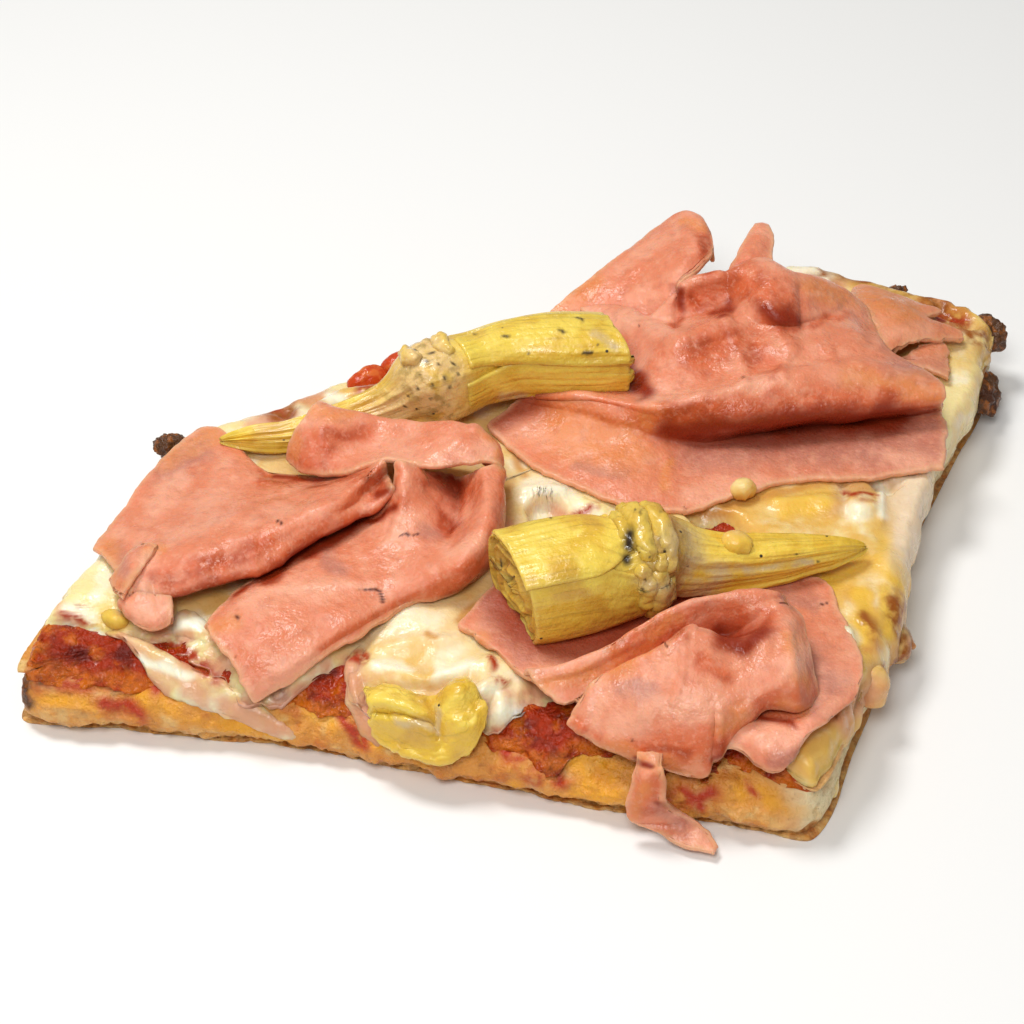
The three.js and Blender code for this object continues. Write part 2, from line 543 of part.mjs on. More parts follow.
// Soft lobes of a squashed artichoke leaf under cheese, and a tomato's two halves.
const LEAF_LOBES = [
  [[-15, -66, 17.5, 2, 2], [-9, -66, 19, 4.2, 3.6], [-2, -67, 19, 4.4, 3.8], [3, -69.5, 17.5, 2.2, 2]],
  [[0, -73, 15, 2.4, 2.4], [4, -70, 17.5, 4, 4], [8, -66, 19, 4.2, 3.8], [10, -61, 19.5, 2, 2]],
  [[-12, -71.5, 13.5, 2, 2.4], [-6, -72, 14, 3.6, 3.8], [0, -72.5, 13.5, 3.8, 3.8], [5, -72.5, 13, 2, 2]],
];
const TOMATO_LOBES = [
  [[-47, 29.5, 19.5, 1.6, 1.6], [-43.5, 32, 20.5, 3.4, 3], [-39.5, 35, 20.5, 3.6, 3.2], [-37, 37.5, 19.5, 1.6, 1.6]],
  [[-39.5, 36, 20, 2, 2], [-36.5, 38.5, 21.5, 3.4, 3.6], [-33, 41, 21, 3.4, 3.4], [-30.5, 43, 20, 1.6, 1.6]],
];

// ---------------------------------------------------------------- fitting pieces to each other
const joined = (solids) => solids.reduce((a, b) => a.add(b));

function geometryOf(solid) {
  const { vertProperties, triVerts, numProp } = solid.getMesh();
  const positions = Float32Array.from({ length: (vertProperties.length / numProp) * 3 }, (_, i) => (
    vertProperties[Math.floor(i / 3) * numProp + (i % 3)]));
  const geometry = new THREE.BufferGeometry();
  geometry.setAttribute('position', new THREE.BufferAttribute(positions, 3));
  geometry.setIndex(new THREE.BufferAttribute(triVerts, 1));
  return geometry;
}

// The same solid with its skin moved outwards by margin.
function grown(solid, margin) {
  const geometry = geometryOf(solid);
  geometry.computeVertexNormals();
  const { position, normal } = geometry.attributes;
  const moved = position.array.map((v, i) => v + margin * normal.array[i]);
  return new wasm.Manifold(new wasm.Mesh({
    numProp: 3,
    vertProperties: moved,
    triVerts: new Uint32Array(geometry.index.array),
  }));
}

// Cuts the lower pieces, each grown by a small clearance, out of an upper one, and keeps its
// largest body.
function laidOn(upper, lowers, clearance = 0.45) {
  const cut = lowers.reduce((solid, lower) => solid.subtract(grown(lower, clearance)), upper);
  return cut.decompose().reduce((best, body) => (body.volume() > best.volume() ? body : best));
}

const BURNT_BITS = [[-82.5, -1, 14, 3.4], [99, 94.5, 14.5, 4.2], [74, 104, 15, 3.2], [99.5, 80, 7, 5.6]];

const bits = BURNT_BITS.map(burntBit);
const dough = joined([makeDough(), ...bits]);
const sauce = laidOn(makeSauce(), bits, 0.3);
const cheese = laidOn(makeCheese(), [...bits, sauce], 0.25);
const layers = [dough, sauce, cheese];
const leaf = laidOn(joined(LEAF_LOBES.map((lobe) => spineSolid(lobe, 6, 6, { grain: 0.08 }))), layers);
const tomato = laidOn(joined(TOMATO_LOBES.map((lobe) => spineSolid(lobe, 5, 7))), layers);
const hamFront = laidOn(
  joined([foldedSolid(HAM_FRONT_BASE, 10, 4), foldedSolid(HAM_FRONT_FOLD, 15, 12)]),
  [...layers, leaf],
);
const hamBack = laidOn(foldedSolid(HAM_BACK, 10, 9), layers);
const hamCorner = laidOn(joined([foldedSolid(HAM_CORNER, 8, 5), foldedSolid(HAM_CORNER_UNDER, 4, 3)]), layers);
const hamRight = laidOn(
  joined([foldedSolid(HAM_RIGHT, 16, 18), foldedSolid(HAM_RIGHT_TIP, 5, 5)]),
  [...layers, hamBack, hamCorner],
);
const artichokeFront = laidOn(spineSolid(ARTICHOKE_FRONT, 22, 12, { grain: 0.02 }), [...layers, hamFront, hamRight]);
const artichokeBack = laidOn(
  spineSolid(ARTICHOKE_BACK, 22, 12, { grain: 0.02 }),
  [...layers, tomato, hamBack, hamRight],
);
const hamLeft = laidOn(
  joined([foldedSolid(HAM_LEFT_FLAP, 9, 14), foldedSolid(HAM_LEFT_ROLL, 11, 12), foldedSolid(HAM_LEFT_TOP, 8, 4)]),
  [...layers, tomato, leaf, artichokeBack, artichokeFront, hamFront, hamRight],
);
const scrap = laidOn(makeScrap(), [...layers, leaf, hamFront]);

// ---------------------------------------------------------------- the scene graph
function meshOf(name, solid, color, roughness) {
  const material = new THREE.MeshStandardMaterial({ color, roughness, metalness: 0 });
  const mesh = new THREE.Mesh(geometryOf(solid), material);
  mesh.name = name;
  return mesh;
}

const slice = new THREE.Group();
slice.add(
  meshOf('dough_slab', dough, 0xd9a04a, 0.75),
  meshOf('tomato_sauce', sauce, 0xb8381a, 0.35),
  meshOf('melted_cheese', cheese, 0xf2dc9c, 0.35),
  meshOf('artichoke_leaf', leaf, 0xe8c24a, 0.4),
  meshOf('tomato_piece', tomato, 0xc2401f, 0.3),
  meshOf('ham_front', hamFront, 0xe58a70, 0.45),
  meshOf('ham_scrap', scrap, 0xe08a68, 0.45),
  meshOf('ham_back', hamBack, 0xe78f72, 0.45),
  meshOf('ham_corner', hamCorner, 0xcf8a64, 0.5),
  meshOf('ham_right', hamRight, 0xe0806a, 0.45),
  meshOf('ham_left', hamLeft, 0xe58a70, 0.45),
  meshOf('artichoke_front', artichokeFront, 0xd8b83c, 0.4),
  meshOf('artichoke_back', artichokeBack, 0xd6b644, 0.4),
);

export default slice;
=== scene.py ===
"""A square-cut slice of tray pizza with folded cooked ham and long-stemmed artichoke halves.

The packed model gives the frame: X runs along the browned front rim, Y away from it towards the cut
back, Z up, and the origin lies on the flat underside. Sizes below are in millimetres, and each piece
is turned to metres as it is put into the scene.

Every shape is a surface of two parameters, worked out on whole arrays. A layer of the slab (dough,
sauce, cheese) is a stack of closed rings round one middle point, from the middle of its underside,
over its edge, to the middle of its top. A ham slice is a folded sheet: guide points, read off
enlarged parts of the photo, are followed along the camera's line to their height above the bed
and joined by smooth curves. An artichoke is a stack of rings along a bent spine.
"""

import functools
import math
from itertools import product

import bpy
import numpy as np
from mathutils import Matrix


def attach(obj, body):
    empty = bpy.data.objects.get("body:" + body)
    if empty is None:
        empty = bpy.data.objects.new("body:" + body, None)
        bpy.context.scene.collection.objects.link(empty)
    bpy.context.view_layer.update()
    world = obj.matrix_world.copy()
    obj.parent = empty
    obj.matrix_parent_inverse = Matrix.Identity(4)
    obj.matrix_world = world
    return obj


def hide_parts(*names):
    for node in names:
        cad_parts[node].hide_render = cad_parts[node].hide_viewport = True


bl_info = {
    "name": "Ham and artichoke pizza slice",
    "version": (1, 0, 0),
    "blender": (4, 5, 0),
    "location": "3D View > Sidebar > Pizza",
    "description": "Bakes a tray pizza slice with folded ham and artichoke halves round its packed solids",
    "category": "Object",
}

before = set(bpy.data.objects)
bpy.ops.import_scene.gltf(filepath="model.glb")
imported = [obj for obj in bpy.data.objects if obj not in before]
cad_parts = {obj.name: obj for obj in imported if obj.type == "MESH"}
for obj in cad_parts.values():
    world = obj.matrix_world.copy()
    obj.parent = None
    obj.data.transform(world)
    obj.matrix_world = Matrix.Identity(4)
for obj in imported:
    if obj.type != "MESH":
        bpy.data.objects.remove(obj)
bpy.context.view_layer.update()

MM = 0.001

# The photo's camera looks at the origin from this far, high and round, through this lens.
CAMERA_ELEVATION = 42.0
CAMERA_AZIMUTH = 14.0
CAMERA_DISTANCE = 0.6058
CAMERA_LENS = 91.41
CAMERA_SENSOR = 36.0
FRAMING_SHIFT = 0.0469
PHOTO_SIZE = 1024
PIXEL = CAMERA_SENSOR / (PHOTO_SIZE * CAMERA_LENS)      # the tangent that one pixel spans

# Enlarged parts of the photo that guide points were read off: upper left corner and zoom.
ENLARGED_CORNER = (15, 590), 3.784
ENLARGED_RIM = (345, 560), 3.733
ENLARGED_WALL = (780, 480), 2.895
ENLARGED_LEFT = (85, 395), 3.18
ENLARGED_RIGHT = (475, 205), 2.857
ENLARGED_FRONT = (450, 580), 3.256
ENLARGED_BLOCK = (485, 480), 3.5
ENLARGED_UPPER = (215, 295), 3.256


def linear(code):
    """A linear RGBA colour from an sRGB hex code: each channel is decoded by the sRGB curve."""
    channels = [int(code[i:i + 2], 16) / 255 for i in (0, 2, 4)]
    return tuple(c / 12.92 if c <= 0.04045 else ((c + 0.055) / 1.055) ** 2.4 for c in channels) + (1.0,)


def camera_axes():
    """The camera's right, up and back, from its turn round Z and its height angle."""
    up, side = math.radians(CAMERA_ELEVATION), math.radians(CAMERA_AZIMUTH)
    right = np.array([math.cos(side), math.sin(side), 0.0])
    back = np.array([math.sin(side) * math.cos(up), -math.cos(side) * math.cos(up), math.sin(up)])
    return right, np.cross(back, right), back


# ---------------------------------------------------------------- smooth steps and curves
def mix(a, b, share):
    """The value at a share of the way from a to b."""
    return a + (b - a) * share


def ramp(low, high, x):
    """A smooth step: 0 below low, 1 above high, and 3t^2 - 2t^3 between."""
    t = np.clip((x - low) / (high - low), 0.0, 1.0)
    return t * t * (3 - 2 * t)


def bell(x, centre, width):
    """A bell: e to the minus square of the distance from centre over width."""
    return np.exp(-(((x - centre) / width) ** 2))


def through(values, t):
    """Smooth values at t, from 0 to 1, through evenly spaced rows (a Catmull-Rom curve)."""
    values = np.asarray(values, float)
    last = len(values) - 1
    f = np.clip(np.asarray(t, float), 0, 1) * last
    i = np.minimum(np.floor(f).astype(int), last - 1)
    w = (f - i).reshape(f.shape + (1,) * (values.ndim - 1))
    padded = np.concatenate([2 * values[:1] - values[1:2], values, 2 * values[-1:] - values[-2:-1]])
    a, b, c, d = (padded[i + k] for k in range(4))
    return b + 0.5 * w * (c - a + w * (2 * a - 5 * b + 4 * c - d + w * (3 * (b - c) + d - a)))


def unit(vectors):
    """Vectors over their lengths."""
    return vectors / np.maximum(np.linalg.norm(vectors, axis=-1, keepdims=True), 1e-9)


# ---------------------------------------------------------------- uneven surfaces
def scattered(cells, seed):
    """Even random numbers from 0 to 1 for whole-numbered cells: their bits are multiplied and mixed."""
    keys = np.array([73856093, 19349663, 83492791], np.int64)[:cells.shape[-1]]
    n = (cells * keys).sum(axis=-1) + seed * 2654435761
    n = (n ^ (n >> 15)) & 0xFFFFFFFF
    n = (n * 2246822519) & 0xFFFFFFFF
    n = (n ^ (n >> 13)) & 0xFFFFFFFF
    n = (n * 3266489917) & 0xFFFFFFFF
    return ((n ^ (n >> 16)) & 0xFFFFFF) / 0xFFFFFF


def lumps(points, size, seed=0):
    """Smooth lumps from -1 to 1, as wide as size: random values at the corners of a grid of cubes,
    blended across each cube by the quintic smooth step."""
    p = np.asarray(points, float) / size + 19.7 * seed
    base = np.floor(p).astype(np.int64)
    f = p - base
    w = f * f * f * (f * (6 * f - 15) + 10)
    total = 0.0
    for corner in product((0, 1), repeat=p.shape[-1]):
        weight = np.prod(np.where(np.array(corner) == 1, w, 1 - w), axis=-1)
        total = total + weight * scattered(base + np.array(corner), seed)
    return 2 * total - 1


def rough(points, size, seed=0, octaves=3, fade=0.5):
    """Lumps on lumps: each octave is half as wide and fade times as high as the one before."""
    return sum(fade ** k * lumps(points, size / 2 ** k, seed + k) for k in range(octaves))


def pores(points, size, seed=0, share=0.6):
    """Round pits from 0 to 1: a random share of the cells holds one point, and the pit falls off
    with the distance to the nearest of them."""
    p = np.asarray(points, float) / size
    base = np.floor(p).astype(np.int64)
    nearest = np.full(p.shape[:-1], 9.0)
    for corner in product((-1, 0, 1), repeat=p.shape[-1]):
        cell = base + np.array(corner)
        spot = cell + np.stack([scattered(cell, seed + k) for k in range(p.shape[-1])], axis=-1)
        open_here = scattered(cell, seed + 7) < share
        radius = 0.35 + 0.5 * scattered(cell, seed + 8)
        away = np.linalg.norm(p - spot, axis=-1) / radius
        nearest = np.where(open_here, np.minimum(nearest, away), nearest)
    return np.clip(1 - nearest ** 2, 0, 1)


def waves(x, y, size, seed):
    """Relief from three crossed waves, about -1 to 1, with swells as wide as size."""
    a = 2 * x / size
    b = 2 * y / size
    bend = 1.4 * np.sin(0.6 * a - 0.5 * b + seed)
    return (np.sin(1.3 * a + 0.5 * b + seed) + np.sin(1.2 * b - 0.7 * a + 2.1 * seed)
            + np.sin(0.9 * a + 1.1 * b + bend)) / 3


# ---------------------------------------------------------------- the slab's plan and heights
CORNERS = np.array([[-94, -80], [83, -72], [102, 98], [46, 109], [-11, 72], [-84, -1]], float)
HOLLOWS = [(96, 30, 40, 4), (-30, -77, 40, 4.8), (-92, -36, 24, 2.4)]
CENTRE = np.array([4.0, 12.0])
CORNER_SOFTNESS = 3.5
EDGE_WOBBLE = 0.9
FOOT_HEIGHT = 4.5
CUT_SIDE_WIDTH = 2.2
RIM_WIDTH = 15.0
RIM_LIFT = 0.7
DOUGH_HEIGHT = 14.0
SAUCE_TOP = 2.0          # above the dough
CHEESE_TOP = 5.9         # above the dough
FURTHEST = 190.0         # beyond every corner, from the centre
HALVINGS = 24
EDGE_SIDES = 720         # even steps of angle at which the edges of the layers are worked out


def edge_distances(x, y):
    """Distance inside each straight side of the plan, one row for each side."""
    ends = np.roll(CORNERS, -1, axis=0)
    along = ends - CORNERS
    length = np.linalg.norm(along, axis=1)
    shape = (-1,) + (1,) * np.ndim(x)
    ax, ay = CORNERS[:, 0].reshape(shape), CORNERS[:, 1].reshape(shape)
    dx, dy = (along[:, 0] / length).reshape(shape), (along[:, 1] / length).reshape(shape)
    return dx * (y - ay) - dy * (x - ax)


def inset(x, y):
    """Distance inside the rounded, slightly wavy outline: a soft minimum of the distances inside
    the sides, less the shallow hollows, plus a small wave."""
    soft = -CORNER_SOFTNESS * np.log(np.exp(-edge_distances(x, y) / CORNER_SOFTNESS).sum(axis=0))
    hollow = sum(depth * bell(np.hypot(x - hx, y - hy), 0, radius) for hx, hy, radius, depth in HOLLOWS)
    return soft - hollow + EDGE_WOBBLE * waves(x, y, 17, 0.4)


def frontness(x, y):
    """1 along the front rim, falling to 0 where another side is nearer."""
    sides = edge_distances(x, y)
    return ramp(-2, 10, sides[1:].min(axis=0) - sides[0])


def radius_at(angle, wanted):
    """How far out along angle the inset has the wanted value, found by halving."""
    angle, wanted = np.broadcast_arrays(angle, wanted)
    low, high = np.zeros(angle.shape), np.full(angle.shape, FURTHEST)
    for _ in range(HALVINGS):
        middle = (low + high) / 2
        inside = inset(CENTRE[0] + middle * np.cos(angle), CENTRE[1] + middle * np.sin(angle)) > wanted
        low, high = np.where(inside, middle, low), np.where(inside, high, middle)
    return low


def plan_at(angle, wanted=0.0, share=1.0):
    """The plan point on angle at a distance inside the outline, or at a share of the way to it."""
    radius = radius_at(angle, wanted) * share
    return CENTRE[0] + radius * np.cos(angle), CENTRE[1] + radius * np.sin(angle)


def quarter_round(x, y, width):
    """0 at the outline to 1 at width inside it, as a quarter of an ellipse."""
    share = np.clip(inset(x, y) / width, 0, 1)
    return np.sqrt(1 - (1 - share) ** 2)


def dough_top(x, y):
    """Top of the dough: it rounds off within a width of the edge, and the rim swells a little."""
    front = frontness(x, y)
    lift = RIM_LIFT * front * bell(inset(x, y), 0.6 * RIM_WIDTH, 5)
    return mix(FOOT_HEIGHT, DOUGH_HEIGHT, quarter_round(x, y, mix(CUT_SIDE_WIDTH, RIM_WIDTH, front))) + lift


# Places where the baked sauce breaks through the cheese: x, y, radius, depth.
CHEESE_HOLES = [(9, -4, 5, 4.6), (48, 2.5, 5.5, 4.4), (41, 4, 3, 2.5), (81, 25, 4, 3), (88, 97, 5, 3.4),
                (94, 91, 4, 3.4), (83, 101, 3.5, 2.5), (-60, 18, 4, 2.6), (-62, -66, 4.6, 5),
                (-55, -68.5, 4.6, 5), (-49, -70, 4.4, 5), (-34, -71, 5.5, 5)]
# Soft white lumps of unmelted cheese: x, y, radius, height.
CHEESE_LUMPS = [(77, 17, 4.5, 1.8), (73, 13, 4, 1.4), (12, -62, 6, 2.6), (-13, -46, 9, 1.3),
                (53, -8, 4, 1.5),
                (86, -3, 5, 2), (84, -15, 6, 1.4), (7, 3, 5, 1.2), (-1, -53, 6, 1.4), (60, 106, 6, 1),
                (-20, -38, 7, 1.2), (-56, 14, 6, 1.2), (4, -24, 5, 1.5), (-86, -40, 6, 0.8),
                (91, -8, 6, 1.5)]


# Ridges and grooves in the cheese, as for the ham.
CHEESE_CREASES = [
    (ENLARGED_RIM, [
        (20, 1.3, (110, 400), (300, 455), (540, 380)), (16, -1.2, (100, 478), (330, 482), (480, 445)),
        (22, 1.6, (505, 490), (545, 470)), (26, 1.8, (580, 560), (640, 590)),
        (14, -1.4, (520, 560), (560, 480), (620, 470)),
        (14, 1.0, (20, 420), (50, 540)), (10, -1, (60, 440), (90, 560)),
        (14, 0.8, (160, 330), (260, 300), (420, 300))]),
    (ENLARGED_RIGHT, [
        (14, 1.2, (140, 820), (250, 820)), (12, -1.2, (180, 870), (210, 860)),
        (12, 1, (300, 850), (360, 870)),
        (12, 0.9, (860, 850), (1000, 840)), (10, -1, (1050, 800), (1060, 880)),
        (14, 1.3, (1090, 870), (1130, 865)),
        (9, 0.8, (1160, 800), (1160, 900)), (12, 0.8, (900, 185), (1040, 185)),
        (10, -1, (1280, 280), (1380, 330))]),
    (ENLARGED_FRONT, [
        (22, 1.4, (1220, 150), (1290, 190)), (14, -1, (1200, 230), (1320, 260)),
        (12, 1.2, (1290, 170), (1340, 300))]),
]


def cheese_swell(x, y):
    """Height of the melted cheese over its mean: soft swells, the unmelted lumps, and the holes."""
    p = np.stack([x, y], axis=-1)
    swell = 0.75 * lumps(p, 13, 3) + 0.45 * lumps(p, 6, 4) + 0.16 * lumps(p, 2.6, 5)
    swell = swell + sum(h * bell(np.hypot(x - cx, y - cy), 0, r) for cx, cy, r, h in CHEESE_LUMPS)
    torn = p + 1.6 * np.stack([lumps(p, 5, 8), lumps(p, 5, 9)], axis=-1)
    return swell - sum(h * ramp(1.25 * r, 0.5 * r, np.hypot(torn[..., 0] - cx, torn[..., 1] - cy))
                       for cx, cy, r, h in CHEESE_HOLES)


def bed(x, y):
    """The smooth bed that the ham lies on: the cheese, and in front of it the sauce on the rim."""
    front = frontness(x, y)
    dough = mix(DOUGH_HEIGHT, mix(FOOT_HEIGHT, DOUGH_HEIGHT, quarter_round(x, y, RIM_WIDTH)), front)
    return dough + mix(CHEESE_TOP, 4.0, front * ramp(18, 4, inset(x, y)))


def on_photo(points, enlarged):
    """Where the camera sees points, as places across and down on an enlarged part of the photo."""
    corner, zoom = enlarged
    right, up, back = camera_axes()
    ray = points - CAMERA_DISTANCE / MM * back
    ray = ray / (ray @ -back)[..., None] / PIXEL
    return np.stack([(ray @ right + PHOTO_SIZE / 2 - corner[0]) * zoom,
                     (PHOTO_SIZE * (0.5 + FRAMING_SHIFT) - ray @ up - corner[1]) * zoom], axis=-1)


def away_from(places, line):
    """Distance of places from a line through a few points."""
    line = np.asarray(line, float)
    nearest = np.linalg.norm(places - line[0], axis=-1)
    for start, step in zip(line[:-1], np.diff(line, axis=0)):
        share = np.clip((places - start) @ step / (step @ step), 0, 1)
        nearest = np.minimum(nearest, np.linalg.norm(places - start - share[..., None] * step, axis=-1))
    return nearest


def tints(points, tables, *names):
    """Soft patches, from 0 to 1, round lines on the enlarged photo, with uneven edges. Each line has
    its half width in front."""
    uneven = points + 1.3 * np.stack([lumps(points, 4, 90 + k) for k in range(3)], axis=-1)
    found = {name: np.zeros(points.shape[:-1]) for name in names}
    for enlarged, table in tables:
        places = on_photo(uneven, enlarged)
        for name in names:
            for width, *line in table.get(name, []):
                found[name] = np.maximum(found[name], ramp(1.9, 0.2, away_from(places, line) / width))
    return found


def creases(points, tables):
    """Height of small ridges and grooves that run along lines on the enlarged photo: each line has
    its half width and its height in front."""
    height = np.zeros(points.shape[:-1])
    for enlarged, table in tables:
        places = on_photo(points, enlarged)
        for width, rise, *line in table:
            height = height + rise * bell(away_from(places, line), 0, 1.3 * width)
    return height


# ---------------------------------------------------------------- meshes
UV_UNIT = 100.0          # one unit of the surface map, in millimetres


def put_piece(name, points, faces, masks, material, slot, node=None):
    """Makes one smooth mesh object from points in millimetres and arrays of faces with equal
    numbers of corners, with a float attribute for each mask and a surface map for the uv mask,
    rides it on the slice, and hides the node of the packed model that it replaces."""
    mesh = bpy.data.meshes.new(name)
    mesh.vertices.add(len(points))
    mesh.vertices.foreach_set("co", (np.asarray(points, float) * MM).astype(np.float32).ravel())
    sizes = np.concatenate([np.full(len(f), f.shape[1]) for f in faces])
    corners = np.concatenate([f.ravel() for f in faces])
    mesh.loops.add(len(corners))
    mesh.loops.foreach_set("vertex_index", corners.astype(np.int32))
    mesh.polygons.add(len(sizes))
    mesh.polygons.foreach_set("loop_start", np.concatenate([[0], np.cumsum(sizes)[:-1]]).astype(np.int32))
    mesh.polygons.foreach_set("use_smooth", np.ones(len(sizes), bool))
    uv = masks.pop("uv", None)
    for key, values in masks.items():
        attribute = mesh.attributes.new(key, "FLOAT", "POINT")
        attribute.data.foreach_set("value", np.asarray(values, np.float32).ravel())
    if uv is not None:
        layer = mesh.uv_layers.new(name="Surface")
        layer.data.foreach_set("uv", np.asarray(uv, np.float32)[corners].ravel())
    mesh.update(calc_edges=True)
    mesh.validate()
    mesh.materials.append(material)
    piece = bpy.data.objects.new(name, mesh)
    bpy.context.scene.collection.objects.link(piece)
    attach(piece, "root")
    if node:
        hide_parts(node)


def ring_faces(rings, sides, first=0):
    """Faces of a stack of closed rings with a pole at each end. Points are the two poles, then the
    rings in order. Seen along the stack, each ring turns so that ring times stack points outwards."""
    i, k = np.meshgrid(np.arange(rings - 1), np.arange(sides), indexing="ij")
    at = first + 2 + np.arange(rings * sides).reshape(rings, sides)
    after = np.roll(at, -1, axis=1)
    sides_of = np.stack([at[:-1], after[:-1], after[1:], at[1:]], axis=-1).reshape(-1, 4)
    ends = np.concatenate([
        np.stack([np.full(sides, first), after[0], at[0]], axis=-1),
        np.stack([np.full(sides, first + 1), at[-1], after[-1]], axis=-1)])
    return sides_of, ends


def ring_normals(rings):
    """Outward normals of a (rings, sides, 3) stack: the step round a ring times the step along."""
    around = np.roll(rings, -1, axis=1) - np.roll(rings, 1, axis=1)
    return unit(np.cross(around, np.gradient(rings, axis=0)))


def even_rings(rows, counts):
    """More rings between the given ones: counts[k] even steps of a smooth curve from row k on."""
    rows = np.asarray(rows)
    t = np.concatenate([k + np.arange(n) / n for k, n in enumerate(counts)] + [[len(rows) - 1]])
    return through(rows, t / (len(rows) - 1))


def sheet_faces(across, along):
    """Faces of a closed sheet: an upper grid, and a lower one that shares the rim of the upper."""
    upper = np.arange(across * along).reshape(across, along)
    lower = upper.copy()
    inner = (across - 2) * (along - 2)
    lower[1:-1, 1:-1] = across * along + np.arange(inner).reshape(across - 2, along - 2)

    def quads(g):
        return np.stack([g[:-1, :-1], g[1:, :-1], g[1:, 1:], g[:-1, 1:]], axis=-1).reshape(-1, 4)
    return np.concatenate([quads(upper), quads(lower)[:, ::-1]])


def sheet_normals(middle):
    """Normals of a surface given as a grid of points: the step along one side times the other's."""
    return unit(np.cross(np.gradient(middle, axis=0), np.gradient(middle, axis=1)))


def sheet_points(middle, thickness, rounding=0.9):
    """Both faces of a sheet round its middle surface, half the thickness out along the normal each
    way, thinning to nothing within the rounding of its rim as a half circle does. It also returns
    the distance in from the rim and the surface map, for the materials, and a function that gives
    both faces the values of the middle surface."""

    def from_rim(axis):
        steps = np.linalg.norm(np.diff(middle, axis=axis), axis=-1)
        ahead = np.cumsum(steps, axis=axis)
        lead = np.zeros_like(np.take(ahead, [0], axis=axis))
        run = np.concatenate([lead, ahead], axis=axis)
        return run, np.minimum(run, np.take(run, [-1], axis=axis) - run)

    run_u, rim_u = from_rim(0)
    run_v, rim_v = from_rim(1)
    rim = np.minimum(rim_u, rim_v)
    half = 0.5 * thickness * np.sqrt(1 - (1 - np.clip(rim / rounding, 0, 1)) ** 2)
    offset = half[..., None] * sheet_normals(middle)
    points = np.concatenate([(middle + offset).reshape(-1, 3), (middle - offset)[1:-1, 1:-1].reshape(-1, 3)])

    def both(values):
        return np.concatenate([values.reshape(-1), values[1:-1, 1:-1].reshape(-1)])

    return points, both(rim), np.stack([both(run_u), both(run_v)], axis=-1) / UV_UNIT, both


def stations(count, length):
    """Even steps from 0 to 1, with a few close ones at both ends to round the rim."""
    close = np.array([0.12, 0.35, 0.65, 1.0, 1.5]) / length
    return np.unique(np.concatenate([np.linspace(0, 1, count), close, 1 - close]).round(6))


def blurred(grid, times):
    """A grid averaged with its neighbours again and again."""
    for _ in range(times):
        wide = np.pad(grid, 1, mode="edge")
        grid = (wide[1:-1, 1:-1] * 2 + wide[:-2, 1:-1] + wide[2:, 1:-1]
                + wide[1:-1, :-2] + wide[1:-1, 2:]) / 6
    return grid


class Parts:
    """The parts of one mesh, stacks of rings and closed sheets, in the order in which they come."""

    def __init__(self):
        self.parts, self.quads, self.triangles, self.count = [], [], [], 0

    def keep(self, points, masks):
        """Adds points with their masks. A mask given as one number holds for all of them."""
        self.parts.append((points, {key: np.full(len(points), value) if np.isscalar(value) else value
                                    for key, value in masks.items()}))
        self.count += len(points)

    def stack(self, rings, poles=None, **masks):
        """A stack of rings. Its poles lie in the middle of its end rings, or where they are given,
        and a mask that isn't one number is 0 there."""
        if poles is None:
            poles = rings[0].mean(axis=0), rings[-1].mean(axis=0)
        sides, ends = ring_faces(*rings.shape[:2], self.count)
        self.quads.append(sides)
        self.triangles.append(ends)
        self.keep(np.concatenate([poles, rings.reshape(-1, 3)]), {
            key: value if np.isscalar(value) else
            np.concatenate([np.zeros((2,) + value.shape[2:]), value.reshape((-1,) + value.shape[2:])])
            for key, value in masks.items()})

    def sheet(self, points, shape, **masks):
        """A sheet with points from sheet_points, over a grid of this shape."""
        self.quads.append(sheet_faces(*shape[:2]) + self.count)
        self.keep(points, masks)

    def joined(self):
        """All points, faces and masks. A mask that a part doesn't have is 0 on it."""
        found = {key: value.shape[1:] for _, masks in self.parts for key, value in masks.items()}
        masks = {key: np.concatenate([masks.get(key, np.zeros((len(points),) + shape))
                                      for points, masks in self.parts]) for key, shape in found.items()}
        faces = [np.concatenate(kind) for kind in (self.quads, self.triangles) if kind]
        return np.concatenate([points for points, _ in self.parts]), faces, masks


# ---------------------------------------------------------------- nodes of the materials
def wire(tree, node, wires):
    """Gives each named input of a node its constant or its link."""
    for key, value in wires.items():
        if isinstance(value, bpy.types.NodeSocket):
            tree.links.new(value, node.inputs[key])
        else:
            node.inputs[key].default_value = value


def add(tree, kind, wires=None, **settings):
    """Adds a node, with its settings, and wires its inputs."""
    node = tree.nodes.new(kind)
    for key, value in settings.items():
        setattr(node, key, value)
    wire(tree, node, wires or {})
    return node


def start_material(name):
    """A new material with a Principled surface, and the object coordinates that its patterns read."""
    material = bpy.data.materials.new(name)
    material.use_nodes = True
    tree = material.node_tree
    return material, tree, tree.nodes["Principled BSDF"], add(tree, "ShaderNodeTexCoord").outputs["Object"]


def mottle(tree, place, size, low, high, detail=3.0):
    """A mask from 0 to 1 of soft blotches, size millimetres wide, between two levels of noise."""
    noise = add(tree, "ShaderNodeTexNoise", {"Vector": place, "Scale": 1 / (size * MM), "Detail": detail})
    return add(tree, "ShaderNodeMapRange", {0: noise.outputs[0], 1: low, 2: high},
               interpolation_type="SMOOTHSTEP").outputs[0]


def masks_of(tree, *keys):
    """The mesh's masks of these names, as sockets."""
    return [add(tree, "ShaderNodeAttribute", attribute_name=key).outputs["Fac"] for key in keys]


def times(tree, *values):
    """The product of masks and numbers."""
    so_far = values[0]
    for value in values[1:]:
        so_far = add(tree, "ShaderNodeMath", {0: so_far, 1: value}, operation="MULTIPLY").outputs[0]
    return so_far


def painted(tree, base, *coats):
    """A colour with coats on it: each (mask, colour) is laid over what is below, as thick as its mask."""
    for mask, colour in coats:
        base = add(tree, "ShaderNodeMix", {0: mask, 6: base, 7: colour}, data_type="RGBA").outputs[2]
    return base


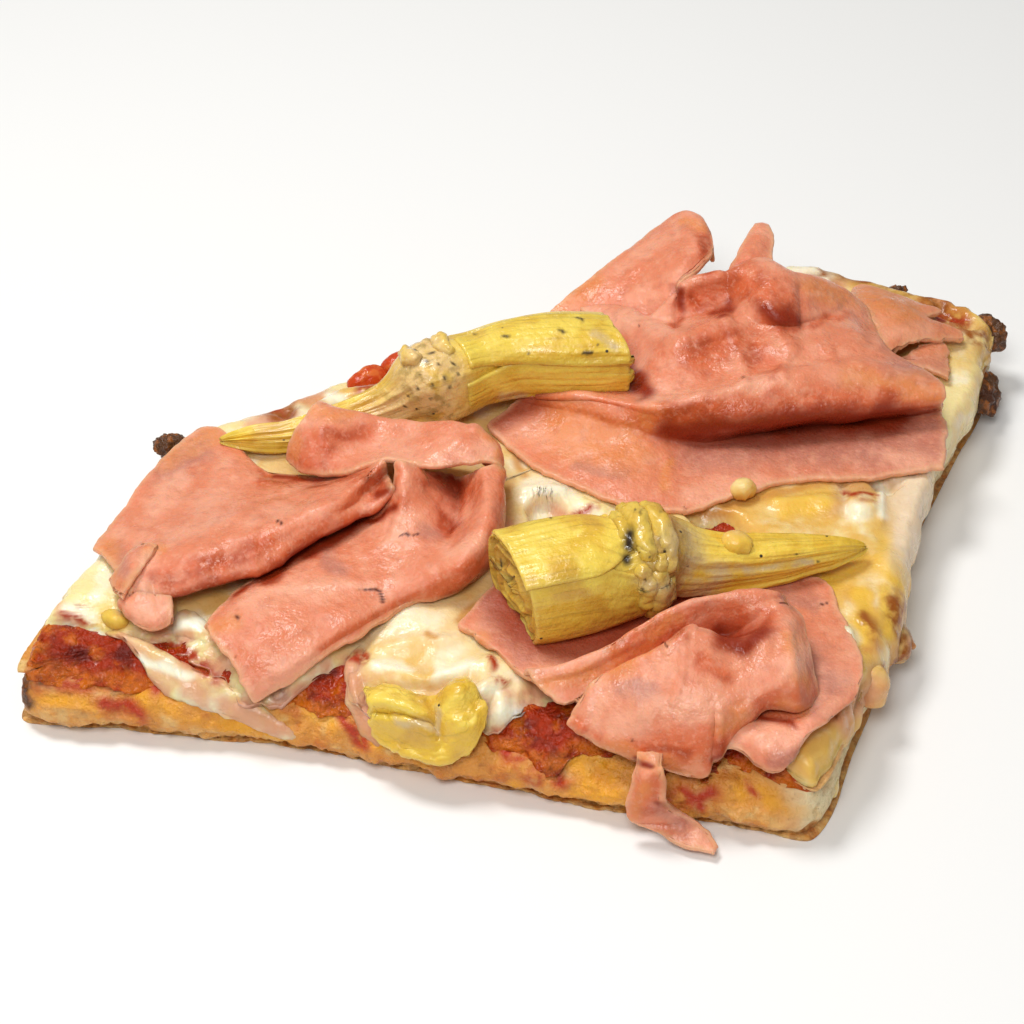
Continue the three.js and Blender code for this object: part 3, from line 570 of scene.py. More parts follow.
def between(tree, mask, low, high):
    """A number from low to high as the mask goes from 0 to 1."""
    return add(tree, "ShaderNodeMapRange", {0: mask, 3: low, 4: high}).outputs[0]


def bumps(tree, *reliefs):
    """A normal with several reliefs laid on each other: each is (mask, height in millimetres, strength)."""
    normal = None
    for mask, height, strength in reliefs:
        wires = {"Height": mask, "Distance": height * MM, "Strength": strength}
        if normal is not None:
            wires["Normal"] = normal
        normal = add(tree, "ShaderNodeBump", wires).outputs[0]
    return normal


def lit_inside(share, reach, scale):
    """Surface inputs for light that wanders inside: its share, and how far each colour of it goes."""
    return {"Subsurface Weight": share, "Subsurface Radius": reach, "Subsurface Scale": scale}


# ---------------------------------------------------------------- sizes and colours
def colour_of(label, about, code):
    return bpy.props.FloatVectorProperty(name=label, description=about, subtype="COLOR", size=4,
                                         min=0, max=1, default=linear(code))


def length_of(label, about, millimetres):
    return bpy.props.FloatProperty(name=label, description=about, default=millimetres * MM,
                                   min=0, unit="LENGTH", subtype="DISTANCE")


class PizzaDough(bpy.types.PropertyGroup):
    """Sizes and colours of the baked dough."""
    pore: length_of("Pore width", "Width of the bubbles in the cut crumb", 4.2)
    pore_depth: length_of("Pore depth", "Depth of the bubbles in the cut crumb", 1.5)
    gold: colour_of("Gold crust", "Crust of the front rim, wet with oil", "dd9030")
    amber: colour_of("Amber crust", "Darker crust, stained by the sauce", "c0611c")
    honey: colour_of("Honey crust", "Crust soaked with oil", "eda428")
    stained: colour_of("Stained crust", "Crust soaked with sauce", "b8340e")
    straw: colour_of("Straw crust", "Paler crust near the tray", "e6b872")
    crumb: colour_of("Crumb", "Cut crumb", "ecd9ad")
    browned: colour_of("Browned crust", "Toasted spots and the tray side", "9c5a22")
    burnt: colour_of("Burnt crust", "Charred bits of crust", "3c1f12")


class PizzaSauce(bpy.types.PropertyGroup):
    """Colours of the baked tomato sauce."""
    red: colour_of("Tomato red", "Fresh sauce", "a62e0c")
    dark: colour_of("Baked red", "Sauce that has dried in the oven", "6a1606")
    oil: colour_of("Orange oil", "Oil stained by the tomato", "d06a14")


class PizzaCheese(bpy.types.PropertyGroup):
    """Sizes and colours of the melted cheese."""
    cream: colour_of("Cream", "Melted cheese", "f6e0a0")
    white: colour_of("White", "Lumps that have melted least", "fbf0d2")
    butter: colour_of("Butter yellow", "Oily, thicker cheese", "e3b45a")
    # Also painted shade where the cheese lies low beside the toppings.
    amber: colour_of("Amber", "Cheese soaked with oil beside the toppings", "c98a3c")
    toast: colour_of("Toasted cheese", "Brown blisters", "9a5518")
    yolk: colour_of("Yolk yellow", "Cheese thick with oil", "edc048")
    wall: colour_of("Grey cream", "Cheese pressed against the cut side", "ecd6bc")
    sauced: colour_of("Sauce", "Sauce that shows through", "a83410")
    blush: colour_of("Blush", "Thin cheese over the tomato", "dc9a76")


class PizzaHam(bpy.types.PropertyGroup):
    """Sizes and colours of the cooked ham."""
    thickness: length_of("Slice thickness", "Thickness of a ham slice", 1.4)
    wrinkle: length_of("Wrinkle height", "Height of the small wrinkles", 0.6)
    pink: colour_of("Ham pink", "Lean ham", "e08662")
    # Also painted light along lit ridges, through the pale tints.
    pale: colour_of("Pale pink", "Paler flats", "f2ac8c")
    # Painted shade: orange for steep sides and fold faces, where less light falls.
    orange: colour_of("Orange", "Steep sides, where the light comes through the slice", "d25f30")
    # Painted shade deep in folds, under crests and among the toppings; also a fine random mottle.
    deep: colour_of("Fold red", "Ham deep in a fold", "8f2d10")
    # Partly a wet tone, partly painted shade under folds and beside the artichokes.
    mauve: colour_of("Mauve", "Ham that lies wet under a fold", "b07a6c")
    amber: colour_of("Amber", "Ham stained by oil and sauce", "e08a4c")
    tan: colour_of("Roasted tan", "Ham dried by the oven", "c9804c")
    # Laid along the rim: partly a rind of fat, partly a painted edge highlight.
    fat: colour_of("Fat", "Thin rind of fat", "f8d2a8")
    # Painted shade inside the small slits.
    slit: colour_of("Slit", "Dark of the small slits", "4a1408")


class PizzaArtichoke(bpy.types.PropertyGroup):
    """Colours of the preserved artichokes."""
    yellow: colour_of("Leaf yellow", "Outer leaves in oil", "e6b93a")
    # Painted light: the faces turned up, and the painted highlights.
    bright: colour_of("Bright yellow", "Tops of the leaves", "f4d156")
    ochre: colour_of("Ochre", "Browner leaves", "c9963c")
    edge: colour_of("Leaf edge", "Thin edges of the leaves", "ecc95e")
    olive: colour_of("Olive", "Fibres and shaded leaves", "8c7226")
    heart: colour_of("Heart", "Cut heart and choke", "ebc684")
    smoked: colour_of("Smoked heart", "Heart greyed by the oven", "b08848")
    veil: colour_of("Veil", "Cheese that has melted thinly over the neck", "d2b683")
    speck: colour_of("Pepper speck", "Pepper and char", "2e2010")


class PizzaTomato(bpy.types.PropertyGroup):
    """Colours of the tomato piece."""
    skin: colour_of("Tomato", "Baked tomato", "c5461a")
    flesh: colour_of("Flesh", "Paler, oily flesh", "e2803a")


# ---------------------------------------------------------------- dough, sauce and cheese
def turn(count):
    """Even angles once round, without the last, which is the first again."""
    return np.linspace(-np.pi, np.pi, count, endpoint=False)


def ring_at(angle, wanted, height, share=1.0):
    """One ring of a layer: plan points from plan_at, and a height that is a number or a function."""
    x, y = plan_at(angle, wanted, share)
    z = height(x, y) if callable(height) else np.broadcast_to(height, x.shape)
    return np.stack([x, y, z], axis=-1)


def flat_inset(angle):
    """The plan step, inside the outline, where the rounding of the sides has ended."""
    return 1.15 * mix(CUT_SIDE_WIDTH, RIM_WIDTH, frontness(*plan_at(angle)))


def dough_material(colours):
    """Wheat dough baked in an oiled tray: matt crumb, a tight golden crust with a thin gloss of
    oil on the rim, and toasted where it met the tray and the oven's heat."""
    material, tree, surface, spot = start_material("Baked wheat dough")
    rim, pit, scorch, base = masks_of(tree, "rim", "pit", "scorch", "base")
    red, pale, gold = masks_of(tree, "red", "pale", "gold")
    colour = painted(
        tree, colours.crumb,
        (times(tree, mottle(tree, spot, 6, 0.45, 0.7), 0.35), colours.straw),
        (times(tree, pit, 0.55), colours.straw),
        (rim, colours.gold),
        (times(tree, rim, mottle(tree, spot, 6, 0.55, 0.7, 4)), colours.straw),
        (times(tree, rim, mottle(tree, spot, 8, 0.5, 0.66, 4), 0.75), colours.amber),
        (times(tree, rim, mottle(tree, spot, 3.5, 0.58, 0.7, 4), 0.6), colours.browned),
        (times(tree, gold, mottle(tree, spot, 5, 0.3, 0.6, 3)), colours.honey),
        (times(tree, pale, mottle(tree, spot, 3, 0.3, 0.65, 3), 0.7), colours.straw),
        (times(tree, red, mottle(tree, spot, 4, 0.2, 0.55, 3)), colours.stained),
        (times(tree, base, mottle(tree, spot, 2.6, 0.34, 0.6), 0.8), colours.straw),
        (times(tree, base, mottle(tree, spot, 2.0, 0.46, 0.6), 0.55), colours.browned),
        (scorch, colours.burnt),
        (times(tree, scorch, mottle(tree, spot, 2.4, 0.5, 0.64)), colours.browned))
    normal = bumps(
        tree,
        (mottle(tree, spot, 1.3, 0.3, 0.7, 5), 0.5, 0.5),
        (mottle(tree, spot, 0.5, 0.3, 0.7, 3), 0.2, 0.5))
    wire(tree, surface, {
        "Base Color": colour, "Roughness": between(tree, rim, 0.85, 0.3), "IOR": 1.45, "Normal": normal,
        **lit_inside(0.12, (1.0, 0.55, 0.25), 0.003)})
    return material


RIM_TINTS = [
    (ENLARGED_CORNER, {
        "red": [(50, (110, 330), (420, 330)), (30, (440, 240), (520, 380)), (26, (330, 430), (480, 470)),
                (24, (1180, 400), (1250, 520), (1330, 590))],
        "pale": [(34, (90, 480), (200, 500), (380, 500)), (14, (520, 535), (1000, 560)), (20, (1240, 590))],
        "char": [(14, (22, 350), (30, 400), (60, 430)), (7, (60, 300), (110, 210), (170, 140)),
                 (9, (90, 340), (110, 350))],
        "gold": [(30, (130, 230), (180, 170)), (40, (560, 440), (700, 480), (1000, 540)),
                 (26, (440, 330), (480, 450)),
                 (30, (1120, 440), (1180, 520)), (26, (110, 410), (300, 440))]}),
    (ENLARGED_RIM, {
        "red": [(36, (600, 700), (700, 800)), (30, (760, 700), (800, 820)), (20, (1260, 880), (1340, 920))],
        "pale": [(20, (10, 700), (40, 740)), (14, (800, 860)), (16, (1050, 860))],
        "gold": [(40, (860, 720), (960, 860)), (40, (880, 860), (1040, 900)), (24, (120, 680), (300, 740)),
                 (24, (640, 830))]}),
    (ENLARGED_FRONT, {
        "red": [(22, (740, 740), (860, 700)), (30, (1130, 560), (1180, 680)), (12, (960, 660), (990, 700))],
        "pale": [(26, (880, 770), (1100, 800)), (14, (1210, 700))],
        "gold": [(40, (940, 690), (1060, 700)), (26, (1100, 740), (1180, 740)),
                 (30, (400, 560), (560, 650))]}),
]
# Charred bits of crust: x, y, z, radius.
BURNT_BITS = [(-83, 1, 17, 3.6), (99, 94.5, 14.5, 4.2), (74, 104, 15, 3.2), (99.5, 80, 7, 5.6)]
DOUGH_SIDES = 960
DOUGH_STEPS = [2, 6, 9, 13, 9, 9, 9, 8, 7, 3, 3]     # rings from each guide ring to the next
BIT_STEPS = 26


def burnt_bits():
    """Charred crumbs of crust: spheres whose radius swells and shrinks with coarse lumps, with deep
    pits between them."""
    around = np.linspace(0, 2 * np.pi, 2 * BIT_STEPS, endpoint=False)
    up = np.linspace(-np.pi / 2, np.pi / 2, BIT_STEPS + 2)[1:-1]
    ball = np.stack([np.cos(up)[:, None] * np.cos(around), np.cos(up)[:, None] * np.sin(around),
                     np.broadcast_to(np.sin(up)[:, None], (BIT_STEPS, 2 * BIT_STEPS))], axis=-1)
    for x, y, z, size in BURNT_BITS:
        centre = np.array([x, y, z])
        swell = 1 + 0.34 * rough(ball * size + centre, 0.9 * size, 2, 4, 0.6)
        yield centre + size * ball * swell[..., None] * np.array([1, 1, 0.85])


class PIZZA_OT_dough(bpy.types.Operator):
    """Bake the dough slab, with its browned front rim, its cut crumb and its burnt bits"""
    bl_idname = "pizza.bake_dough"
    bl_label = "Dough"
    bl_options = {"REGISTER", "UNDO"}

    def execute(self, context):
        sizes = context.scene.pizza_dough
        angle = turn(DOUGH_SIDES)
        wide = flat_inset(angle)
        front = frontness(*plan_at(angle, 2.0))
        rows = [ring_at(angle, 6.4, 0.0, 0.5), ring_at(angle, mix(3.2, 6.2, front), 0.0),
                ring_at(angle, mix(0.9, 3.0, front), 1.0), ring_at(angle, 0.0, FOOT_HEIGHT)]
        rows += [ring_at(angle, share * wide, dough_top) for share in (0.04, 0.12, 0.25, 0.46, 0.7, 1)]
        rows += [ring_at(angle, wide, dough_top, share) for share in (0.6, 0.2)]
        rings = even_rings(rows, DOUGH_STEPS)
        x, y, z = np.moveaxis(rings, -1, 0)
        outward = ring_normals(rings)
        front = frontness(x, y)
        edge = ramp(9, 3, inset(x, y))
        side = ramp(6.5, 4.5, inset(x, y)) * (1 - front) * ramp(0.4, 2.0, z)
        pit = pores(rings, sizes.pore / MM, 3, 0.5)
        fine = pores(rings * np.array([1, 1, 1.3]), 0.42 * sizes.pore / MM, 11, 0.6)
        foot = ramp(5, 1.5, z) * ramp(0.05, 0.5, z) * edge
        depth = side * (sizes.pore_depth / MM * pit ** 1.4 + 0.55 * fine) + front * foot * 1.3 * fine
        relief = edge * (0.45 * rough(rings, 7, 5) + 0.16 * lumps(rings, 1.8, 9)
                         + front * (0.7 * rough(rings, 4, 6, 4, 0.6) + 0.9 * lumps(rings, 10, 7)))
        blister = front * edge * ramp(3, 8, z) * 1.3 * pores(rings, 8, 21, 0.4) ** 0.7
        rings = rings + outward * (relief + blister - depth)[..., None]
        rings[..., 2] = np.maximum(rings[..., 2], 0.0)
        burnt = sum(bell(np.linalg.norm(rings - np.array([bx, by, bz]), axis=-1), 0, 1.25 * size)
                    for bx, by, bz, size in BURNT_BITS)
        front = np.maximum(front, ramp(-76, -86, x) * edge)
        stain = tints(rings, RIM_TINTS, "red", "pale", "gold", "char")
        char = stain.pop("char")
        crust = np.maximum(front, ramp(3.2, 1.4, z)) * 0.95 + ramp(12.2, 13.6, z) * (1 - front) * 0.6
        dough = Parts()
        dough.stack(rings, ([*CENTRE, 0.0], [*CENTRE, DOUGH_HEIGHT]), rim=np.clip(crust, 0, 1),
                    pit=np.maximum(pit, 0.6 * fine) * side,
                    base=ramp(2.2, 0.4, z + 1.2 * lumps(rings, 7, 17)),
                    **{key: values * front for key, values in stain.items()},
                    scorch=0.9 * np.clip(burnt + char, 0, 1))
        for bit in burnt_bits():
            dough.stack(bit, rim=1.0, scorch=0.92)
        put_piece("baked_dough", *dough.joined(), dough_material(sizes), "baked_dough", "dough_slab")
        return {"FINISHED"}


# How far inside the front edge the sauce and the cheese stop, at places along X.
SAUCE_REACH = ((-94, -86, -70, -60, -48, -36, -26, -10, 10, 16, 22, 29, 34, 46, 51, 56, 63, 67, 75, 79, 84),
               (3.4, 3.2, 3.8, 4.4, 3.4, 4.5, 3.2, 5, 5, 3, 1.4, 1.6, 6.5, 7.5, 3.2, 2.4, 4, 7, 7, 4.5, 5))
CHEESE_REACH = ((-94, -84, -76, -70, -64, -56, -48, -40, -34, -30, -25, -21, -16, -4, 6, 13, 18, 23, 80, 86),
                (15, 16, 15.5, 13, 9, 6.5, 4.8, 3, 4, 12, 12, 6, 4, 2.6, 3, 4, 9, 15, 15, 9))


SAUCE_SIDES = 840
SAUCE_STEPS = [2, 3, 3, 3, 6, 10, 14, 14, 12, 18, 14]
CHEESE_SIDES = 760
HEM_STEPS = [2, 2, 3, 4, 3, 3, 6]


def sauce_inset(angle):
    """How far inside the outline the sauce stops: on the rim it is drawn down in baked patches."""
    x, y = plan_at(angle)
    p = np.stack([x, y], axis=-1)
    ragged = 1.1 * lumps(p, 4, 2) + 0.5 * lumps(p, 1.5, 3)
    return np.maximum(mix(1.3, np.interp(x, *SAUCE_REACH), frontness(x, y)) + ragged, 0.5)


def sauce_material(colours):
    """Crushed tomato baked thick: a wet, lumpy red that darkens to brick where it has dried."""
    material, tree, surface, spot = start_material("Baked tomato sauce")
    thin, = masks_of(tree, "thin")
    colour = painted(
        tree, colours.red,
        (mottle(tree, spot, 7, 0.48, 0.66, 4), colours.dark),
        (times(tree, mottle(tree, spot, 5, 0.52, 0.7, 3), 0.75), colours.oil),
        (times(tree, thin, mottle(tree, spot, 4, 0.3, 0.6, 3)), colours.oil))
    normal = bumps(tree, (mottle(tree, spot, 1.8, 0.3, 0.7, 4), 1.0, 0.8))
    wire(tree, surface, {
        "Base Color": colour, "Roughness": between(tree, mottle(tree, spot, 3, 0.4, 0.65), 0.1, 0.4),
        "IOR": 1.4, "Normal": normal,
        **lit_inside(0.1, (1.0, 0.25, 0.1), 0.002)})
    return material


class PIZZA_OT_sauce(bpy.types.Operator):
    """Spread the tomato sauce over the dough and down the front rim"""
    bl_idname = "pizza.spread_sauce"
    bl_label = "Tomato sauce"
    bl_options = {"REGISTER", "UNDO"}

    def execute(self, context):
        angle = turn(SAUCE_SIDES)
        stop = sauce_inset(angle)
        wide = np.maximum(flat_inset(angle), stop + 2)

        def under(x, y):
            return dough_top(x, y) - 0.5

        def over(x, y):
            return dough_top(x, y) + SAUCE_TOP

        rows = [ring_at(angle, wide, under, 0.9), ring_at(angle, wide, under)]
        rows += [ring_at(angle, mix(stop, wide, share), under) for share in (0.5, 0.15)]
        rows += [ring_at(angle, stop, lambda x, y: dough_top(x, y) + 0.2)]
        for share in (0.1, 0.3, 0.6, 1):
            swollen = ramp(-0.1, 0.5, share)
            rows.append(ring_at(angle, mix(stop, wide, share),
                                lambda x, y: mix(under(x, y) + 0.9, over(x, y), swollen)))
        rows += [ring_at(angle, wide, over, share) for share in (0.85, 0.6, 0.3)]
        rings = even_rings(rows, SAUCE_STEPS)
        outward = ring_normals(rings)
        x, y, z = np.moveaxis(rings, -1, 0)
        upper = ramp(-0.2, 0.5, outward[..., 2])
        tear = pores(rings, 3.2, 5, 0.7)
        relief = upper * (0.5 * rough(rings, 5, 7, 3, 0.6) + 0.55 * tear ** 0.6 - 0.15)
        rings = rings + outward * relief[..., None]
        sauce = Parts()
        sauce.stack(rings, ([*CENTRE, DOUGH_HEIGHT - 0.5], [*CENTRE, DOUGH_HEIGHT + SAUCE_TOP]),
                    thin=ramp(4, 0.5, inset(x, y) - stop))
        put_piece("tomato_layer", *sauce.joined(), sauce_material(context.scene.pizza_sauce),
                  "tomato_sauce", "tomato_sauce")
        return {"FINISHED"}


def cheese_inset(angle):
    """Where the cheese stops: just inside the cut sides, beyond the right side, and on the front
    rim in tongues that have run down over the sauce."""
    x, y = plan_at(angle)
    right = bell(angle, 0, 0.62)
    bulge = 1.4 + 1.8 * bell(angle, -0.36, 0.16)
    cut = mix(0.9, -bulge, right) + 13.6 * left_corner(angle)
    p = np.stack([x, y], axis=-1)
    ragged = 1.9 * lumps(p, 8, 6) + 1.0 * lumps(p, 3, 7) + 0.4 * lumps(p, 1.3, 8)
    front = frontness(x, y)
    uneven = mix(0.4, 1, np.maximum(front, left_corner(angle)))
    return mix(cut, np.interp(x, *CHEESE_REACH), front) + ragged * uneven


def cheese_hang(angle):
    """How far the cheese hangs down the cut right side, in a few melted tongues."""
    # The angle, half width and length of each.
    tongues = [(-0.295, 0.07, 9), (-0.45, 0.055, 8), (-0.585, 0.045, 7), (-0.17, 0.05, 5),
               (-0.05, 0.07, 4.5), (0.1, 0.05, 3.5), (0.22, 0.08, 5), (0.36, 0.05, 3.5), (0.5, 0.09, 4.5)]
    ripple = 0.8 * lumps(np.stack([60 * angle, 0 * angle], axis=-1), 3, 5)
    hanging = 2.2 + ripple + sum(h * bell(angle, a, w) for a, w, h in tongues)
    return 0.2 + ramp(0.9, 0.6, np.abs(angle + 0.02)) * hanging


def cheese_edge(angle):
    """The cheese's stop, how much of it spills over the side, its hang, and the inset of its skin."""
    stop, hang = cheese_inset(angle), cheese_hang(angle)
    spill = ramp(0.8, -0.4, stop)
    return stop, spill, hang, stop - 0.3 - 0.1 * hang * spill


def left_corner(angle):
    """1 round the left corner, where the cheese stops short of the edge."""
    return ramp(-2.48, -2.39, angle) * ramp(-2.1, -2.3, angle)


@functools.lru_cache
def cheese_stops():
    """The cheese's edge for even steps of angle, worked out once."""
    angle = turn(EDGE_SIDES)
    stop, spill, _, skin = cheese_edge(angle)
    return angle, mix(stop, skin, spill)


@functools.lru_cache
def sauce_stops():
    """The sauce's edge for even steps of angle, worked out once."""
    angle = turn(EDGE_SIDES)
    return angle, sauce_inset(angle)


def cheese_floor(x, y):
    """Underside of the cheese: level to the cut sides and beyond, and sloping with the front rim."""
    return mix(DOUGH_HEIGHT, dough_top(x, y), frontness(x, y)) + SAUCE_TOP - 0.7


def cheese_level(x, y):
    """Height of the cheese: it thickens from its edge, fast on the cut sides and slowly on the rim,
    and carries the swells."""
    here = np.arctan2(y - CENTRE[1], x - CENTRE[0])
    rim = inset(x, y) - np.interp(here, *cheese_stops(), period=2 * np.pi)
    slow = np.maximum(frontness(x, y), 0.7 * left_corner(here))
    thick = mix(1 - np.exp(-np.maximum(rim, 0) / 0.9), 1 - np.exp(-np.maximum(rim, 0) / 9.0), slow)
    height = (CHEESE_TOP - SAUCE_TOP + 0.2) * thick
    return cheese_floor(x, y) + 0.5 + height + cheese_swell(x, y) * ramp(0, 6, rim)


def slab_level(x, y):
    """Height of whatever lies on top of the slab, sauce or cheese."""
    return np.maximum(cheese_level(x, y), dough_top(x, y) + SAUCE_TOP)


def cheese_material(colours):
    """Mozzarella melted in the oven: milky and translucent, glossy with its own fat, white where
    it is thick, blushing where it lies thin on the tomato, and blistered brown in spots. Painted shade
    turns it amber where it lies low beside the toppings."""
    material, tree, surface, spot = start_material("Melted mozzarella")
    thin, toast, oily, lump, deep = masks_of(tree, "thin", "toast", "oily", "lump", "deep")
    white, amber, red, blush, yellow, pale = masks_of(
        tree, "white", "amber", "red", "blush", "yellow", "pale")
    colour = painted(
        tree, colours.cream,
        (times(tree, mottle(tree, spot, 11, 0.5, 0.72), 0.55), colours.butter),
        (times(tree, mottle(tree, spot, 7, 0.48, 0.66), 0.75), colours.white),
        (lump, colours.white),
        (times(tree, oily, mottle(tree, spot, 8, 0.25, 0.6)), colours.butter),
        (times(tree, thin, mottle(tree, spot, 5, 0.3, 0.6)), colours.blush),
        # Painted shade: amber where the cheese lies low beside the toppings.
        (times(tree, deep, 0.6), colours.amber),
        (times(tree, amber, 0.8), colours.amber),
        (times(tree, blush, 0.8), colours.blush),
        (times(tree, yellow, 0.9), colours.yolk),
        (white, colours.white),
        (times(tree, pale, 0.8), colours.wall),
        (times(tree, red, mottle(tree, spot, 2.5, 0.25, 0.55, 3)), colours.sauced),
        (times(tree, toast, mottle(tree, spot, 3.4, 0.3, 0.62, 4)), colours.toast))
    gloss = mottle(tree, spot, 5, 0.4, 0.65)
    normal = bumps(tree, (mottle(tree, spot, 3.2, 0.3, 0.7, 3), 0.5, 0.35))
    wire(tree, surface, {
        "Base Color": colour, "Roughness": between(tree, gloss, 0.22, 0.42), "IOR": 1.42, "Normal": normal,
        **lit_inside(0.45, (1.0, 0.72, 0.38), 0.0045)})
    return material


# Brown blisters: x, y, radius.
TOASTED = [(66, 105, 3.2), (56, 108, 4), (63, 107, 3), (74, 102, 3), (91, -15, 3.2), (92, -19, 2.4),
           (-61, 17, 3.4),
           (-73, -39, 2), (83, 98, 3), (87, 101, 3), (1, 77, 3), (-82, -3, 4), (55, 97, 3), (96, 86, 3.5),
           (-36, 42, 3)]
# Tints of the cheese, as half widths and lines on enlarged parts of the photo.
CHEESE_TINTS = [
    (ENLARGED_RIM, {
        "white": [(40, (590, 560), (650, 580)), (24, (500, 490), (550, 470)), (20, (130, 390), (220, 410)),
                  (24, (360, 430), (460, 400))],
        "amber": [(14, (430, 240), (540, 130)), (12, (300, 260), (340, 290)), (20, (150, 700), (60, 640))],
        "red": [(16, (20, 365), (80, 350)), (12, (535, 370), (545, 400)), (10, (575, 435), (600, 450)),
                (26, (540, 660), (600, 690))],
        "blush": [(40, (20, 420), (60, 560), (130, 690)), (24, (560, 160), (620, 330)),
                  (24, (560, 640), (640, 640))]}),
    (ENLARGED_RIGHT, {
        "white": [(30, (160, 820), (250, 825)), (16, (1160, 800), (1160, 880)), (26, (1100, 870)),
                  (24, (900, 185), (1000, 190))],
        "amber": [(14, (110, 700), (130, 780)), (16, (640, 885), (800, 838), (960, 805), (1200, 795)),
                  (24, (900, 850), (1030, 860)),
                  (26, (1080, 195), (1200, 225)), (24, (1290, 260), (1390, 290))],
        "yellow": [(22, (1150, 205), (1240, 235)), (14, (900, 190), (940, 190)),
                   (24, (880, 860), (1000, 850))],
        "red": [(8, (1060, 825), (1145, 835)), (24, (1280, 300), (1390, 340)),
                (10, (290, 890), (340, 850)), (16, (670, 165), (700, 175))],
        "blush": [(26, (1330, 240), (1400, 250)), (20, (980, 210), (1040, 225)),
                  (20, (230, 880), (300, 890))],
        "toast": [(16, (1058, 190)), (22, (1108, 203)), (10, (992, 192)), (16, (1245, 250)),
                  (12, (1230, 330))]}),
    (ENLARGED_LEFT, {
        "white": [(22, (440, 210), (520, 230))],
        "toast": [(16, (278, 200)), (18, (600, 55), (630, 70)), (10, (530, 196)), (8, (5, 666)),
                  (10, (820, 40)), (6, (8, 690))],
        "yellow": [(20, (70, 720), (130, 725))],
        "amber": [(26, (700, 10), (860, 30)), (18, (1340, 300), (1340, 400)), (14, (620, 90))],
        "blush": [(24, (560, 90), (640, 80)), (30, (1340, 420), (1330, 520))]}),
    (ENLARGED_FRONT, {
        "toast": [(20, (1345, 115), (1360, 140)), (12, (1380, 180))],
        "white": [(30, (1220, 160), (1290, 190))],
        "amber": [(30, (1330, 60), (1370, 200))],
        "blush": [(22, (1230, 260), (1300, 270)), (20, (1200, 60), (1230, 110))]}),
    (ENLARGED_WALL, {
        "toast": [(16, (240, 400), (265, 440)), (16, (310, 540), (370, 560)), (12, (170, 690))],
        "yellow": [(40, (310, 200), (335, 300)), (30, (130, 285), (230, 250)),
                   (24, (300, 330), (305, 440)), (26, (240, 330), (230, 440))],
        "pale": [(60, (380, 20), (380, 200)), (24, (345, 150), (350, 190))],
        "blush": [(30, (270, 600), (180, 700)), (20, (385, 480))]}),
    (ENLARGED_CORNER, {
        "white": [(22, (500, 265), (640, 340)), (20, (620, 130), (700, 130)), (26, (200, 60), (280, 100)),
                  (10, (300, 150), (400, 200))],
        "blush": [(40, (380, 190), (560, 300), (700, 400)), (30, (800, 430), (1060, 540)),
                  (26, (170, 60), (240, 130))],
        "yellow": [(28, (360, 110), (350, 90))],
        "red": [(30, (600, 220), (690, 270), (750, 320)), (16, (180, 90), (260, 140)), (12, (250, 60))]}),
    (ENLARGED_BLOCK, {"yellow": [(40, (840, 245), (930, 235))]}),
    (ENLARGED_UPPER, {
        "white": [(26, (500, 345), (600, 330)), (16, (360, 330), (420, 340))],
        "yellow": [(26, (430, 365), (500, 385)), (12, (325, 370), (400, 380))],
        "red": [(20, (170, 375), (225, 400)), (26, (480, 300), (640, 240))],
        "blush": [(24, (230, 350), (330, 320)), (20, (120, 420), (160, 410))]}),
]


def cheese_masks(points, thin):
    """Where the cheese is toasted, oily and lumpy, from the named spots."""
    x, y = points[..., 0], points[..., 1]
    toast = sum(bell(np.hypot(x - cx, y - cy), 0, 1.25 * r) for cx, cy, r in TOASTED)
    lump = sum(bell(np.hypot(x - cx, y - cy), 0, r) for cx, cy, r, _ in CHEESE_LUMPS)
    oily = (ramp(20, 60, x) * ramp(45, 10, y) + ramp(40, 70, x) * ramp(60, 90, y)
            + 0.9 * bell(np.hypot(x + 8, y + 60), 0, 16))
    masks = tints(points, CHEESE_TINTS, "white", "amber", "red", "blush", "yellow", "pale", "toast")
    masks["toast"] = np.clip(1.4 * toast + masks["toast"], 0, 1)
    return {**masks, "thin": thin, "oily": np.clip(oily, 0, 1),
            # Painted shade where the cheese lies low beside the toppings.
            "deep": cavity(points, 0, 6) * ramp(17, 18.6, points[..., 2]),
            "lump": np.clip(0.8 * lump, 0, 1)}


